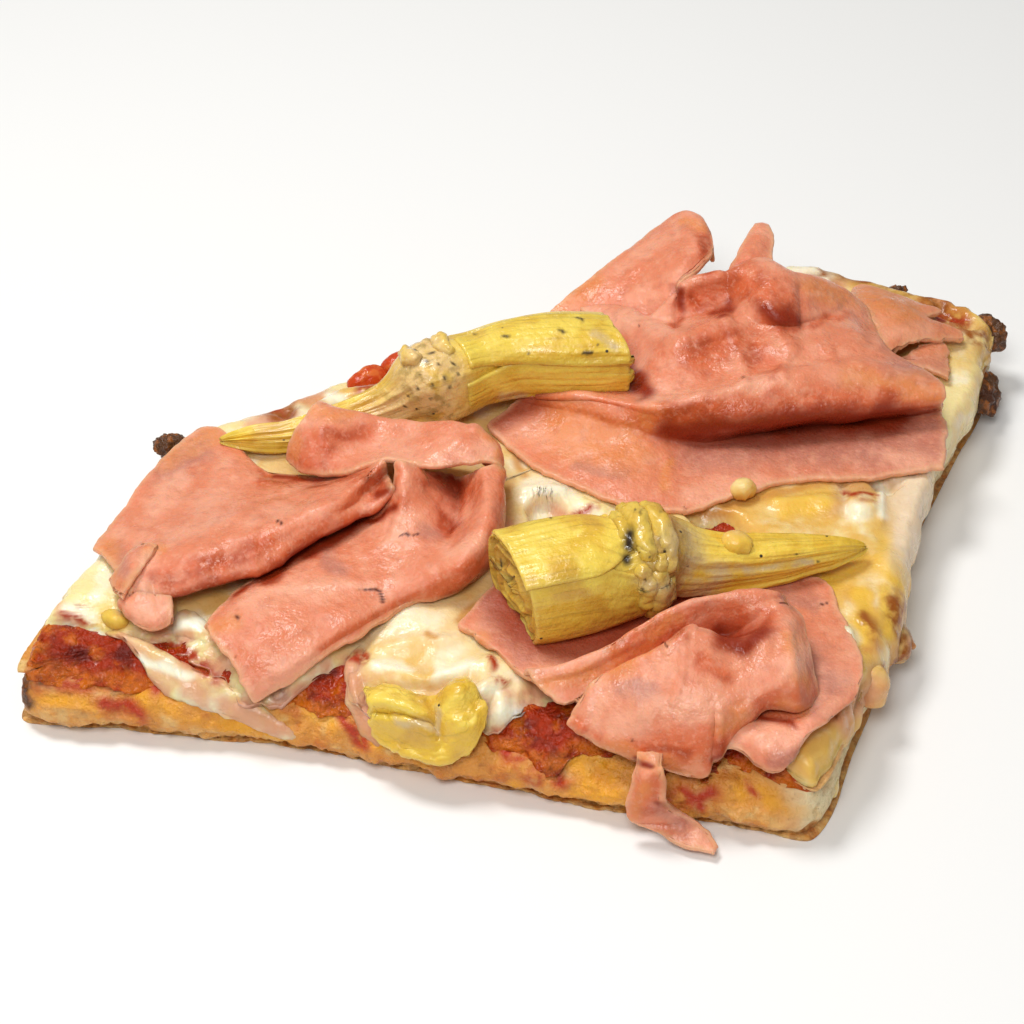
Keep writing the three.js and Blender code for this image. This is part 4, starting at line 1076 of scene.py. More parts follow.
# Films of cheese that have slid down the front rim, read off enlarged parts of the photo. Heights
# are above the sauce.
CHEESE_FILMS = [
    (ENLARGED_CORNER, [
        [(560, 150, 0), (600, 170, 0.2), (650, 178, 0.3), (700, 200, 0.3), (745, 240, 0)],
        [(590, 110, 0.6), (630, 120, 1.4), (670, 135, 1.6), (715, 165, 1.2), (750, 205, 0.4)],
        [(620, 80, 0.8), (650, 85, 1.8), (690, 95, 2), (722, 120, 1.4), (748, 160, 0.6)]]),
    (ENLARGED_CORNER, [
        [(500, 330, 0), (560, 400, 0), (640, 440, 0), (760, 470, 0), (880, 520, 0), (1000, 562, 0),
         (1070, 582, -0.2)],
        [(470, 260, 0.8), (560, 330, 1.1), (660, 390, 1), (780, 425, 0.9), (900, 475, 0.7),
         (1000, 530, 0.5),
         (1078, 570, 0)],
        [(400, 180, 0.8), (500, 225, 1), (640, 310, 1), (780, 372, 0.8), (900, 435, 0.6), (1000, 508, 0.4),
         (1080, 560, 0)],
        [(340, 160, 0), (470, 190, 0.2), (600, 250, 0.2), (760, 330, 0.2), (900, 405, 0.2), (1000, 486, 0),
         (1078, 552, -0.2)]]),
    (ENLARGED_RIM, [
        [(20, 330, 0), (-8, 420, 0), (2, 520, 0), (30, 600, 0), (75, 670, 0), (130, 716, -0.2)],
        [(60, 310, 0.8), (30, 400, 1), (40, 510, 1), (66, 590, 0.9), (105, 655, 0.6), (150, 700, 0)],
        [(100, 300, 0.4), (75, 390, 0.4), (80, 490, 0.4), (105, 570, 0.4), (140, 640, 0.2),
         (170, 690, 0)]]),
    (ENLARGED_LEFT, [
        [(60, 733, 0), (100, 750, 0.2), (142, 738, 0)],
        [(52, 700, 1.6), (95, 712, 3), (140, 716, 1.8)],
        [(72, 678, 1), (100, 680, 1.8), (130, 690, 1.2)]]),
]


# Steps across and along a film, and along and round a drip.
FILM_STEPS = (130, 40)
DRIP_STEPS = (44, 40)
# Drips and drops of cheese: guide points, with heights above the table, and radii.
CHEESE_DRIPS = [
    ((ENLARGED_WALL, [(312, 215, 19.5), (305, 300, 16.5), (306, 390, 12.5), (326, 478, 9),
                      (334, 536, 6.5)]), [2, 3.2, 3.6, 4.4, 3.2]),
    ((ENLARGED_WALL, [(250, 300, 19), (262, 400, 15), (285, 500, 10), (296, 540, 8)]), [2, 3, 3.2, 2.6]),
    ((ENLARGED_WALL, [(345, 450, 10), (372, 476, 8.8), (394, 486, 8.2)]), [2.6, 1.4, 0.5]),
    ((ENLARGED_WALL, [(258, 540, 17), (268, 600, 12.5), (262, 650, 8.5)]), [2.5, 3.8, 2.6]),
    ((ENLARGED_WALL, [(205, 640, 14.5), (192, 695, 10.5), (172, 735, 7)]), [2.4, 3.2, 1.8]),
    ((ENLARGED_WALL, [(130, 750, 13.5), (127, 825, 9), (137, 880, 5), (134, 922, 2.6)]),
     [1.6, 1.8, 2.2, 2.3]),
    ((ENLARGED_UPPER, [(330, 372, 24), (410, 352, 25.5), (500, 342, 26.5), (590, 330, 26)]),
     [2, 3, 3.4, 2.4]),
    ((ENLARGED_UPPER, [(400, 392, 23), (480, 388, 24.4), (560, 384, 24.4)]), [2, 2.8, 2]),
    ((ENLARGED_RIGHT, [(735, 826, 21.2), (765, 812, 22), (800, 818, 21)]), [1.4, 2.8, 1.4]),
    ((ENLARGED_BLOCK, [(835, 240, 31), (880, 222, 32), (930, 240, 31)]), [2, 3.1, 2]),
]


def sauced(x, y):
    """Height of the sauce on the rim and, beyond its edge, of the crust."""
    stop = np.interp(np.arctan2(y - CENTRE[1], x - CENTRE[0]), *sauce_stops(), period=2 * np.pi)
    share = (inset(x, y) - stop) / (1.15 * RIM_WIDTH - stop)
    return dough_top(x, y) + ramp(-0.05, 0.02, share) * mix(0.4, SAUCE_TOP, ramp(-0.1, 0.5, share))


def table_top(x, y):
    """The ground of what hangs down to the table."""
    return 0 * x


class PIZZA_OT_cheese(bpy.types.Operator):
    """Melt the cheese over the sauce, down the front rim in tongues and down the right side in drips"""
    bl_idname = "pizza.melt_cheese"
    bl_label = "Melted cheese"
    bl_options = {"REGISTER", "UNDO"}

    def execute(self, context):
        angle = turn(CHEESE_SIDES)
        stop, spill, hang, outer = cheese_edge(angle)
        over = np.maximum(stop + 1.4, 1.6)
        inner = mix(stop + 0.5, 0.9, spill)
        edge_z = cheese_floor(*plan_at(angle, over))
        hem = edge_z - hang
        rows = [ring_at(angle, over + 9, cheese_floor, 0.8), ring_at(angle, over + 5, cheese_floor),
                ring_at(angle, over, cheese_floor), ring_at(angle, inner, mix(edge_z, hem, 0.5)),
                ring_at(angle, inner - 0.05, hem), ring_at(angle, mix(inner, outer, 0.6), hem - 0.3),
                ring_at(angle, outer, hem + 0.7), ring_at(angle, outer + 0.02, edge_z + 0.5)]
        steps = np.concatenate([[0.3, 0.6, 1.0, 1.5], np.linspace(2.1, 14, 19), np.linspace(15, 40, 26)])
        wide = [ring_at(angle, outer + step, cheese_level) for step in steps]
        wide += [ring_at(angle, outer + steps[-1], cheese_level, share)
                 for share in np.linspace(0.97, 0.08, 40)]
        rings = np.concatenate([even_rings(rows, HEM_STEPS), np.stack(wide)])
        outward = ring_normals(rings)
        x, y, z = np.moveaxis(rings, -1, 0)
        inside = inset(x, y)
        hanging = ramp(1.5, -0.5, inside)
        runs = lumps(rings * np.array([1, 1, 0.4]), 2.6, 14)
        relief = hanging * (0.7 * lumps(rings, 7, 13) + 0.25 * runs)
        relief = relief + ramp(0.2, 0.6, outward[..., 2]) * creases(rings, CHEESE_CREASES)
        thin = np.clip(frontness(x, y) * ramp(10, 1, inside - stop) + 0.25 * hanging, 0, 1)
        cheese = Parts()
        cheese.stack(rings + outward * relief[..., None],
                     ([*CENTRE, DOUGH_HEIGHT + 1.0], [*CENTRE, DOUGH_HEIGHT + CHEESE_TOP]), thin=thin)
        material = cheese_material(context.scene.pizza_cheese)
        self.put("melted_mozzarella", cheese, material, "melted_cheese")
        self.drips(material)
        self.films(material)
        return {"FINISHED"}

    def put(self, name, parts, material, node=None, **more):
        """Puts in one piece of cheese, with the masks of the cheese at its points."""
        points, faces, masks = parts.joined()
        masks = {**cheese_masks(points, masks["thin"]), **more}
        put_piece(name, points, faces, masks, material, "melted_cheese", node)

    def films(self, material):
        """Thin sheets of cheese on the sauce of the front rim, thickest along their middle."""
        films = Parts()
        for number, film in enumerate(CHEESE_FILMS):
            middle = torn_rim(lofted(seen(film, sauced), *FILM_STEPS), 1.0, 80 + number)
            middle[..., 2] += 0.35 * lumps(middle, 5, 81) + 0.2 * lumps(middle, 2, 82)
            middle[..., 2] = np.maximum(middle[..., 2], sauced(middle[..., 0], middle[..., 1]) - 0.3)
            sheet, rim, _, _ = sheet_points(middle, 1.5, 2.0)
            films.sheet(sheet, middle.shape, thin=0.3 + 0.6 * ramp(5, 0.5, rim))
        self.put("cheese_films", films, material)

    def drips(self, material):
        """Drops that have run down the right side, and a few that lie on the toppings: tubes along
        bent paths, thin at the neck and swollen at the foot."""
        drips = Parts()
        for number, (path, radii) in enumerate(CHEESE_DRIPS):
            rings = tube_rings(seen(path, table_top), radii, *DRIP_STEPS, flat=1.0)
            swell = 0.45 * lumps(rings, 4, 20 + number) + 0.15 * lumps(rings, 1.6, 30 + number)
            drips.stack(rings + ring_normals(rings) * swell[..., None], thin=0.1)
        self.put("cheese_drips", drips, material, oily=np.full(drips.count, 0.9))


def tube_at(spine, t, angle, flat=0.88, ends=True):
    """Points of a tube at shares t of its length and angles of its section. The spine has rows of
    x, y, z, half width, half height and squareness. The section turns from sideways to up, its
    corners are squared off by a superellipse, and its underside is cut flat at a share of its height."""
    spine = np.asarray(spine, float)
    t, angle = np.broadcast_arrays(t, angle)
    bare = np.clip(t, 0, 1)
    middle = through(spine[:, :3], bare)
    ahead = unit(through(spine[:, :3], np.clip(t + 0.04, 0, 1))
                 - through(spine[:, :3], np.clip(t - 0.04, 0, 1)))
    aside = np.cross([0, 0, 1.0], ahead)
    steep = np.linalg.norm(aside, axis=-1, keepdims=True) < 0.25
    aside = unit(np.where(steep, np.cross([0, 1.0, 0], ahead), aside))
    up = np.cross(ahead, aside)
    width, height, square = np.moveaxis(through(spine[:, 3:], bare), -1, 0)
    power = 2 / square
    corner = (np.abs(np.cos(angle)) ** power + np.abs(np.sin(angle)) ** power) ** (-square / 2)
    round_end = np.sqrt(np.clip(1 - (2 * bare - 1) ** 14, 0.0004, 1)) if ends else 1.0
    reach = width * np.cos(angle) * corner * round_end
    rise = height * np.maximum(np.sin(angle) * corner, -flat) * round_end
    beyond = (t - bare) * np.linalg.norm(np.diff(spine[:, :3], axis=0), axis=-1).sum()
    return middle + beyond[..., None] * ahead + reach[..., None] * aside + rise[..., None] * up


def tube_rings(path, radii, along, sides, flat=0.88, heights=None):
    """Rings of a round tube along a path, with a half width and height at each of its points."""
    spine = np.column_stack([path, radii, radii if heights is None else heights, np.ones(len(radii))])
    angle = np.linspace(0, 2 * np.pi, sides, endpoint=False)
    return tube_at(spine, np.linspace(0, 1, along)[:, None], angle[None], flat)


# Spines from the cut leaf ends, over the heart, to the tip of the stem: x, y, z, half width, half
# height and squareness.
ARTICHOKE_FRONT = [
    (10.3, -40.7, 30, 10.6, 9.8, 0.6), (16.5, -37.8, 30.5, 11, 10.2, 0.6), (24, -34, 31, 11, 10.2, 0.65),
    (30, -30.5, 31, 10.4, 10.4, 0.8), (35, -27, 31.5, 11.4, 11.2, 0.9), (40, -23.5, 29.8, 9, 9, 0.9),
    (46, -21, 27.5, 6.8, 6.8, 0.8), (55, -17, 26.5, 5.6, 5.2, 0.7), (65, -12.5, 26, 4.6, 4.4, 0.7),
    (74, -7.8, 25.6, 3.2, 3.4, 0.8), (81, -4, 25, 1.7, 1.8, 0.7),
]
ARTICHOKE_BACK = [
    (14, 41.8, 31.4, 7.8, 7.6, 0.6), (8, 40.2, 31.4, 8.2, 8, 0.6), (0, 38, 31.4, 8.2, 8, 0.6),
    (-8.2, 35, 31, 7, 8, 0.65), (-15, 30.5, 30.6, 7, 8.4, 0.75), (-20.5, 26, 30.4, 8.4, 9.4, 0.8),
    (-26, 21.5, 30, 8.6, 9.8, 0.8), (-30.5, 18.4, 27.6, 6, 7, 0.8), (-35, 15.6, 26, 4.8, 5.4, 0.8),
    (-42, 11, 25, 4, 4.4, 0.9), (-52, 4, 24.2, 3.4, 3.6, 1), (-61, 0.5, 24, 2.8, 3, 1),
    (-69, -1.5, 23.4, 1, 1.4, 1),
]
# Leaves of each block: first and last angle in degrees, first and last share of the length, and
# how far the leaf stands off. The camera sees the front artichoke at 180 degrees, the back one at 0.
LEAVES_FRONT = [(132, 268, 0.002, 0.37, 0.2), (48, 140, -0.004, 0.345, 0.7), (-52, 60, 0.0, 0.34, 0.3)]
LEAVES_BACK = [(24, 122, -0.006, 0.4, 0.6), (-48, 34, 0.002, 0.42, 0.2), (108, 205, 0.0, 0.4, 0.3)]
# Knobs of the crown, where the outer leaves were broken off: half widths in millimetres, then the
# share of the length and the angle of each point.
KNOBS_FRONT = [
    ([1.2, 2.2, 1.4], [(0.345, 62), (0.35, 92), (0.34, 122)]),
    ([1.6, 2.6, 2.4, 1.4], [(0.375, 50), (0.385, 84), (0.375, 116), (0.385, 144)]),
    ([1.6, 2.4, 2.2, 1.6], [(0.415, 60), (0.42, 92), (0.425, 126), (0.415, 158)]),
    ([1.2, 2.2, 1.6], [(0.345, 140), (0.355, 166), (0.35, 196)]),
    ([1.4, 2.4, 2.0, 1.2], [(0.385, 150), (0.395, 176), (0.39, 206), (0.38, 226)]),
    ([1.2, 1.8, 1.2], [(0.43, 164), (0.44, 190), (0.43, 214)]),
    ([1.0, 1.8, 1.0], [(0.36, 118), (0.372, 128), (0.362, 140)]),
    ([0.9, 1.6, 0.9], [(0.405, 134), (0.40, 146), (0.41, 156)]),
]
KNOBS_BACK = [
    ([1.2, 2.0, 1.4], [(0.43, 70), (0.44, 100), (0.43, 130)]),
    ([1.4, 2.4, 1.2], [(0.50, 78), (0.51, 98), (0.52, 122)]),
]


# ---------------------------------------------------------------- ham
# Each sheet of ham is a table of guide points, read off an enlarged part of the photo: across and
# down in the enlarged picture, and the height above the cheese in millimetres. A row runs along
# the fold lines, and the rows go from the near edge over the folds to the far edge.
HAM_LEFT_FLAP = ENLARGED_LEFT, [
    [(540, 992, 0), (705, 890, 0), (865, 782, 0), (1005, 706, 0), (1115, 662, 0.2), (1225, 602, 0.3),
     (1296, 528, 0.3), (1316, 450, 0.4), (1312, 350, 0.4)],
    [(525, 975, 1.2), (690, 868, 1.4), (850, 758, 1.3), (990, 685, 1.5), (1108, 640, 2.5), (1220, 582, 5),
     (1298, 480, 7.5), (1325, 350, 9.5), (1318, 240, 10.5)],
    [(510, 945, 2), (670, 850, 2.6), (820, 745, 2.8), (960, 665, 3.2), (1085, 612, 5), (1195, 545, 9),
     (1258, 450, 11.5), (1278, 340, 12.5), (1268, 235, 12.5)],
    [(485, 905, 2.6), (620, 815, 3.2), (760, 715, 3.5), (890, 640, 3.8), (1020, 590, 5.2), (1120, 535, 7.5),
     (1195, 450, 7.5), (1225, 340, 7), (1215, 262, 7)],
    [(460, 860, 2.9), (575, 775, 3.5), (705, 680, 3.8), (835, 605, 4), (965, 545, 5), (1070, 490, 6.5),
     (1160, 430, 5), (1185, 340, 3.5), (1165, 262, 3)],
    [(430, 815, 2.9), (525, 735, 3.3), (650, 645, 3.4), (775, 570, 3.5), (900, 505, 4.5), (1000, 440, 7),
     (1085, 370, 8.5), (1105, 310, 8), (1090, 255, 8)],
    [(405, 780, 2.6), (480, 700, 3), (600, 615, 3), (725, 530, 3), (850, 455, 3.6), (950, 400, 6.5),
     (1010, 330, 11), (1030, 270, 13.5), (1020, 228, 14)],
    [(385, 745, 1.8), (440, 670, 1.5), (555, 585, 1.2), (680, 500, 1.5), (810, 420, 2), (920, 370, 5),
     (975, 310, 10), (1000, 255, 13), (990, 222, 14.2)],
]
HAM_LEFT_ROLL = ENLARGED_LEFT, [
    [(32, 505, 0.4), (95, 400, 0.4), (185, 290, 0.4), (290, 170, 0.3), (420, 118, 0.3), (545, 240, 1),
     (660, 262, 2.5), (800, 268, 6), (920, 228, 9)],
    [(55, 525, 1.2), (130, 425, 1.5), (225, 330, 1.6), (340, 240, 1.5), (460, 220, 1.8), (590, 285, 2.6),
     (705, 300, 4.6), (830, 282, 8), (935, 232, 10.5)],
    [(85, 560, 2.5), (175, 475, 3), (280, 400, 3.2), (400, 345, 3.8), (520, 335, 4.6), (640, 338, 6),
     (750, 318, 8), (855, 283, 10.5), (945, 225, 13)],
    [(110, 600, 3.8), (225, 548, 6), (335, 490, 7.8), (450, 455, 8.6), (570, 430, 9.2), (680, 390, 10),
     (790, 345, 11.5), (880, 285, 12.5), (955, 218, 14.5)],
    [(130, 625, 3.2), (245, 600, 5), (350, 560, 6.8), (465, 520, 7.6), (585, 490, 8), (695, 435, 9),
     (800, 390, 9.8), (895, 320, 9.5), (965, 255, 11)],
    [(150, 650, 2), (262, 645, 3.2), (365, 620, 4), (478, 590, 4.6), (585, 560, 5), (702, 478, 6),
     (825, 408, 7.4), (925, 368, 8.5), (985, 300, 11.5)],
    [(160, 655, 0.8), (270, 640, 1), (370, 605, 1.4), (480, 570, 1.6), (585, 535, 2), (702, 450, 2.6),
     (825, 380, 4), (930, 335, 6), (985, 290, 9.5)],
]
HAM_LEFT_TOP = ENLARGED_LEFT, [
    [(655, 212, 4.5), (705, 262, 6), (800, 268, 8), (880, 243, 10), (960, 216, 12.5), (1040, 234, 13),
     (1110, 243, 12.8), (1205, 228, 13.2), (1288, 224, 13.2), (1318, 262, 11)],
    [(660, 160, 8), (715, 200, 10), (800, 200, 9.5), (880, 195, 9.5), (960, 190, 10.5), (1040, 195, 12.5),
     (1115, 192, 14), (1210, 185, 15), (1295, 190, 13.6), (1322, 230, 10.5)],
    [(685, 95, 12), (755, 115, 13.5), (840, 125, 12), (925, 135, 10.5), (1005, 145, 11.5),
     (1085, 142, 13.8),
     (1155, 140, 15.5), (1230, 142, 15.5), (1290, 165, 13.6), (1316, 200, 10)],
    [(735, 38, 12.5), (800, 56, 12.8), (880, 73, 12.2), (960, 90, 11.5), (1040, 99, 12.5), (1110, 99, 14),
     (1180, 99, 15), (1240, 117, 14.6), (1278, 148, 13), (1300, 180, 9.5)],
    [(745, 110, 4), (805, 135, 4), (885, 150, 4), (965, 165, 3), (1045, 180, 3), (1115, 195, 3),
     (1185, 205, 3.5), (1245, 215, 4), (1282, 240, 4), (1300, 262, 3)],
]
HAM_LEFT_END = ENLARGED_LEFT, [
    [(128, 682, 0.3), (170, 735, 0.3), (225, 757, 0.3), (280, 735, 0.3)],
    [(120, 665, 1.4), (175, 708, 1.9), (228, 722, 2), (287, 706, 1.6)],
    [(140, 645, 2.2), (185, 670, 2.8), (235, 682, 2.8), (283, 678, 2.4)],
    [(165, 620, 3), (200, 622, 3.4), (240, 632, 3.4), (275, 645, 3)],
]
HAM_LEFT_PLEAT = ENLARGED_LEFT, [
    [(70, 600, 2), (105, 560, 4), (140, 520, 5), (190, 487, 5)],
    [(95, 640, 3.6), (130, 585, 6.6), (165, 535, 7.6), (215, 482, 7)],
    [(125, 665, 3), (158, 605, 5.4), (190, 555, 6.6), (235, 495, 6.4)],
]
HAM_RIGHT = ENLARGED_RIGHT, [
    [(30, 640, 0.2), (110, 715, 0.2), (215, 785, 0.2), (330, 838, 0.2), (450, 872, 0.2), (600, 882, 0.2),
     (740, 846, 0.2), (900, 805, 0.2), (1100, 796, 0.2), (1345, 764, 0.2)],
    [(60, 612, 0.8), (150, 662, 1), (240, 722, 1.3), (340, 772, 1.5), (458, 812, 1.6), (608, 825, 0.9),
     (748, 790, 0.8), (902, 750, 0.6), (1100, 728, 0.6), (1348, 712, 0.8)],
    [(90, 587, 1.2), (180, 612, 2.2), (270, 645, 3.2), (368, 695, 3.2), (482, 738, 2.4), (620, 748, 0.8),
     (760, 712, 0.8), (905, 684, 0.7), (1100, 662, 0.7), (1346, 645, 1.2)],
    [(108, 572, 1.6), (200, 588, 3.2), (290, 608, 4.8), (390, 642, 5), (502, 678, 3.4), (632, 690, 1.2),
     (770, 664, 1), (908, 640, 0.9), (1100, 622, 1), (1336, 595, 2)],
    [(118, 562, 2.4), (215, 572, 4.8), (308, 585, 6.8), (408, 612, 7.4), (512, 642, 6), (640, 655, 5.5),
     (780, 638, 6.8), (910, 616, 8), (1100, 594, 8.5), (1338, 575, 7.5)],
    [(125, 553, 3), (225, 560, 5.8), (325, 566, 8.3), (425, 588, 9), (525, 608, 9.2), (650, 606, 9.8),
     (785, 590, 11), (913, 560, 12), (1100, 532, 12.3), (1352, 552, 9.8)],
    [(130, 548, 3.2), (235, 552, 6.3), (340, 554, 9), (440, 572, 10), (530, 582, 11.2), (660, 559, 12.6),
     (790, 530, 13.6), (912, 496, 14.5), (1100, 471, 14.6), (1342, 520, 11)],
    [(300, 505, 3), (380, 520, 4.2), (440, 542, 6), (500, 552, 9), (572, 546, 10.4), (680, 526, 11.4),
     (795, 500, 12.4), (915, 466, 13.5), (1098, 446, 13.6), (1305, 495, 10.4)],
    [(330, 432, 2), (410, 442, 4), (480, 452, 8.6), (540, 452, 12), (612, 446, 13.2), (700, 430, 13.2),
     (790, 430, 13.6), (900, 415, 15), (1082, 400, 13.6), (1240, 465, 7.6)],
    [(345, 372, 2.6), (415, 378, 5.4), (487, 380, 10), (560, 395, 14), (640, 372, 15.6), (735, 345, 16.2),
     (800, 352, 15.2), (900, 360, 15.6), (1062, 345, 12.6), (1182, 430, 5.6)],
    [(322, 332, 3), (385, 328, 5), (440, 338, 7.5), (520, 352, 9.5), (640, 325, 11), (725, 285, 14.5),
     (820, 285, 19.4), (905, 325, 17.5), (1040, 310, 13), (1142, 372, 6)],
    [(300, 308, 3), (370, 299, 4.6), (435, 304, 6.2), (500, 335, 8), (600, 235, 16.5), (715, 203, 19),
     (820, 165, 21), (900, 205, 20), (1000, 225, 15.5), (1112, 310, 7)],
    [(310, 325, 0.6), (378, 330, 0.8), (445, 345, 1), (505, 365, 1.5), (620, 300, 7), (725, 275, 8),
     (825, 270, 8), (905, 290, 8), (1008, 275, 6), (1118, 350, 2)],
    [(312, 334, 0.2), (380, 340, 0.2), (447, 355, 0.2), (507, 372, 0.3), (622, 352, 1), (727, 330, 1),
     (827, 325, 1), (906, 345, 1), (1010, 318, 1), (1120, 362, 0.4)],
]
HAM_RIGHT_TIP = ENLARGED_RIGHT, [
    [(705, 262, 8), (775, 250, 9), (845, 240, 9)],
    [(712, 205, 16), (775, 180, 18), (850, 172, 17.5)],
    [(748, 148, 18), (800, 132, 19.4), (850, 128, 18)],
    [(778, 92, 18.2), (812, 86, 19), (848, 92, 18)],
    [(798, 68, 17.2), (820, 64, 17.6), (840, 72, 17.2)],
    [(800, 130, 9), (822, 128, 9), (842, 135, 9)],
]
HAM_BACK = ENLARGED_RIGHT, [
    [(215, 314, 0.4), (300, 332, 0.8), (400, 350, 1.2), (490, 352, 2.2), (576, 354, 3.6)],
    [(290, 252, 3), (352, 262, 4), (432, 272, 5), (502, 282, 6.4), (573, 295, 8)],
    [(370, 187, 5), (422, 192, 6.6), (482, 202, 8.2), (542, 217, 10), (592, 238, 11)],
    [(450, 127, 7), (492, 127, 9), (542, 132, 11.2), (602, 147, 13.5), (657, 182, 12.4)],
    [(520, 80, 8.5), (552, 76, 10.6), (592, 76, 12.6), (641, 92, 14.4), (679, 132, 12.8)],
    [(562, 54, 9), (582, 42, 10.6), (606, 34, 12), (641, 49, 12.8), (673, 92, 12.2)],
    [(570, 115, 2), (590, 112, 2.4), (612, 115, 2.6), (646, 135, 3), (678, 172, 3)],
]
HAM_CORNER = ENLARGED_RIGHT, [
    [(1186, 440, 3.6), (1252, 410, 4.2), (1332, 402, 2.8), (1396, 394, 1.4)],
    [(1150, 388, 5.6), (1222, 368, 6), (1296, 366, 4.4), (1392, 366, 1.8)],
    [(1112, 314, 6.8), (1182, 302, 7), (1252, 312, 5.4), (1302, 338, 3.4)],
    [(1074, 268, 5.4), (1142, 264, 5.8), (1222, 288, 4.6), (1332, 314, 2.2)],
    [(1086, 244, 2.6), (1118, 238, 3.2), (1194, 268, 2.6), (1300, 304, 1.2)],
]
HAM_CORNER_UNDER = ENLARGED_RIGHT, [
    [(1192, 452, 0.8), (1272, 474, 0.6), (1352, 508, 0.4)],
    [(1232, 432, 1.8), (1302, 434, 1.8), (1360, 462, 0.8)],
    [(1262, 408, 1.8), (1322, 408, 1.8), (1352, 430, 0.8)],
]
HAM_FRONT_FOLD = ENLARGED_FRONT, [
    [(372, 468, 1.2), (425, 520, 1.2), (505, 566, 1), (600, 600, 1), (700, 624, 1), (818, 654, 1),
     (868, 592, 1.6), (1012, 440, 3.6), (1136, 442, 3.2), (1196, 400, 1.4)],
    [(378, 458, 2), (440, 490, 3.2), (520, 530, 4.2), (612, 560, 4.8), (708, 580, 5), (822, 600, 4.6),
     (878, 545, 4.4), (1016, 412, 6.6), (1132, 408, 6.4), (1198, 362, 3.2)],
    [(400, 430, 3.2), (470, 430, 4.8), (550, 450, 6.2), (640, 470, 7.4), (730, 490, 8), (830, 500, 7.8),
     (905, 465, 7.2), (1028, 372, 9.4), (1126, 352, 9.4), (1188, 302, 5.4)],
    [(435, 385, 4.4), (510, 370, 6.2), (590, 375, 8), (675, 385, 9.5), (760, 395, 10.2), (850, 400, 10),
     (930, 375, 9.6), (1040, 312, 11), (1117, 282, 11.6), (1172, 232, 7.4)],
    [(468, 345, 5), (545, 318, 7), (625, 300, 9), (705, 275, 11), (768, 250, 12.6), (850, 270, 12),
     (925, 275, 11.2), (1042, 242, 12), (1106, 212, 12.2), (1157, 172, 8.4)],
    [(500, 325, 5), (572, 292, 7.4), (640, 258, 9.8), (706, 220, 11.8), (768, 168, 13.8), (842, 182, 13.2),
     (905, 208, 12.2), (1040, 184, 12.6), (1096, 152, 12.6), (1142, 130, 9)],
    [(490, 345, 2.6), (575, 318, 3.6), (650, 288, 5), (720, 262, 6.2), (785, 235, 6.8), (850, 222, 6.4),
     (915, 215, 6), (1035, 152, 10.8), (1086, 122, 12), (1122, 106, 9.2)],
    [(372, 415, 1), (480, 350, 2), (580, 300, 3.4), (680, 240, 4.8), (775, 205, 5.2), (860, 188, 5),
     (930, 178, 5.6), (1030, 122, 11), (1076, 97, 12), (1107, 93, 9)],
    [(290, 365, 2.2), (415, 325, 3.4), (530, 268, 5.6), (640, 205, 7.8), (745, 155, 9.4), (850, 128, 9.6),
     (940, 112, 10.4), (1022, 86, 12.4), (1066, 76, 12), (1097, 86, 9)],
    [(242, 306, 3), (370, 290, 4.6), (500, 235, 7.4), (615, 165, 10), (725, 102, 12), (840, 70, 13),
     (940, 55, 13), (1015, 50, 12.8), (1056, 58, 12), (1087, 76, 9)],
    [(235, 310, 0.4), (370, 330, 0.5), (500, 305, 0.6), (615, 262, 0.8), (725, 218, 0.8), (840, 190, 0.8),
     (940, 175, 0.8), (1015, 165, 0.8), (1060, 160, 0.8), (1095, 162, 0.8)],
]
HAM_FRONT_BASE = ENLARGED_FRONT, [
    [(112, 206, 0.4), (250, 332, 0.4), (450, 420, 0.3), (650, 500, 0.3), (800, 560, 0.3), (925, 560, 2.6),
     (1062, 640, 2.2), (1166, 520, 2.6), (1310, 402, 1)],
    [(72, 186, 0.6), (232, 250, 0.6), (430, 330, 0.4), (640, 400, 0.3), (800, 440, 0.3), (950, 500, 3.4),
     (1085, 560, 3.6), (1190, 462, 3.2), (1336, 352, 1.2)],
    [(30, 162, 0.6), (222, 152, 0.6), (430, 220, 0.4), (640, 280, 0.3), (800, 330, 0.3), (965, 420, 1.4),
     (1090, 450, 2), (1215, 390, 2), (1336, 252, 1)],
    [(80, 92, 0.5), (250, 62, 0.5), (450, 100, 0.4), (650, 150, 0.3), (820, 150, 0.3), (980, 150, 0.5),
     (1130, 150, 0.8), (1232, 172, 0.8), (1290, 150, 0.6)],
    [(150, 2, 0.4), (280, -18, 0.3), (460, 0, 0.3), (650, 30, 0.2), (820, 30, 0.2), (980, 20, 0.2),
     (1120, 2, 0.3), (1200, 2, 0.3), (1250, 40, 0.3)],
]
# The torn scrap hangs down the front rim on to the table: its heights are above the table.
HAM_SCRAP = ENLARGED_FRONT, [
    [(604, 556, 19), (600, 602, 17), (584, 660, 14), (571, 735, 9), (600, 797, 4.5), (690, 842, 2.2),
     (780, 882, 1.6),
     (860, 905, 1.2)],
    [(652, 562, 19.6), (648, 612, 17.8), (642, 672, 15), (634, 735, 10.5), (682, 775, 6), (752, 822, 3.6),
     (812, 862, 2.2),
     (864, 896, 1.4)],
    [(696, 570, 19.2), (692, 624, 17.4), (699, 668, 14.6), (696, 722, 11), (762, 762, 7), (822, 802, 4.4),
     (856, 842, 2.4),
     (869, 880, 1.3)],
]


SIGHT_STEPS = 40        # steps in which the camera's line is followed to the ground


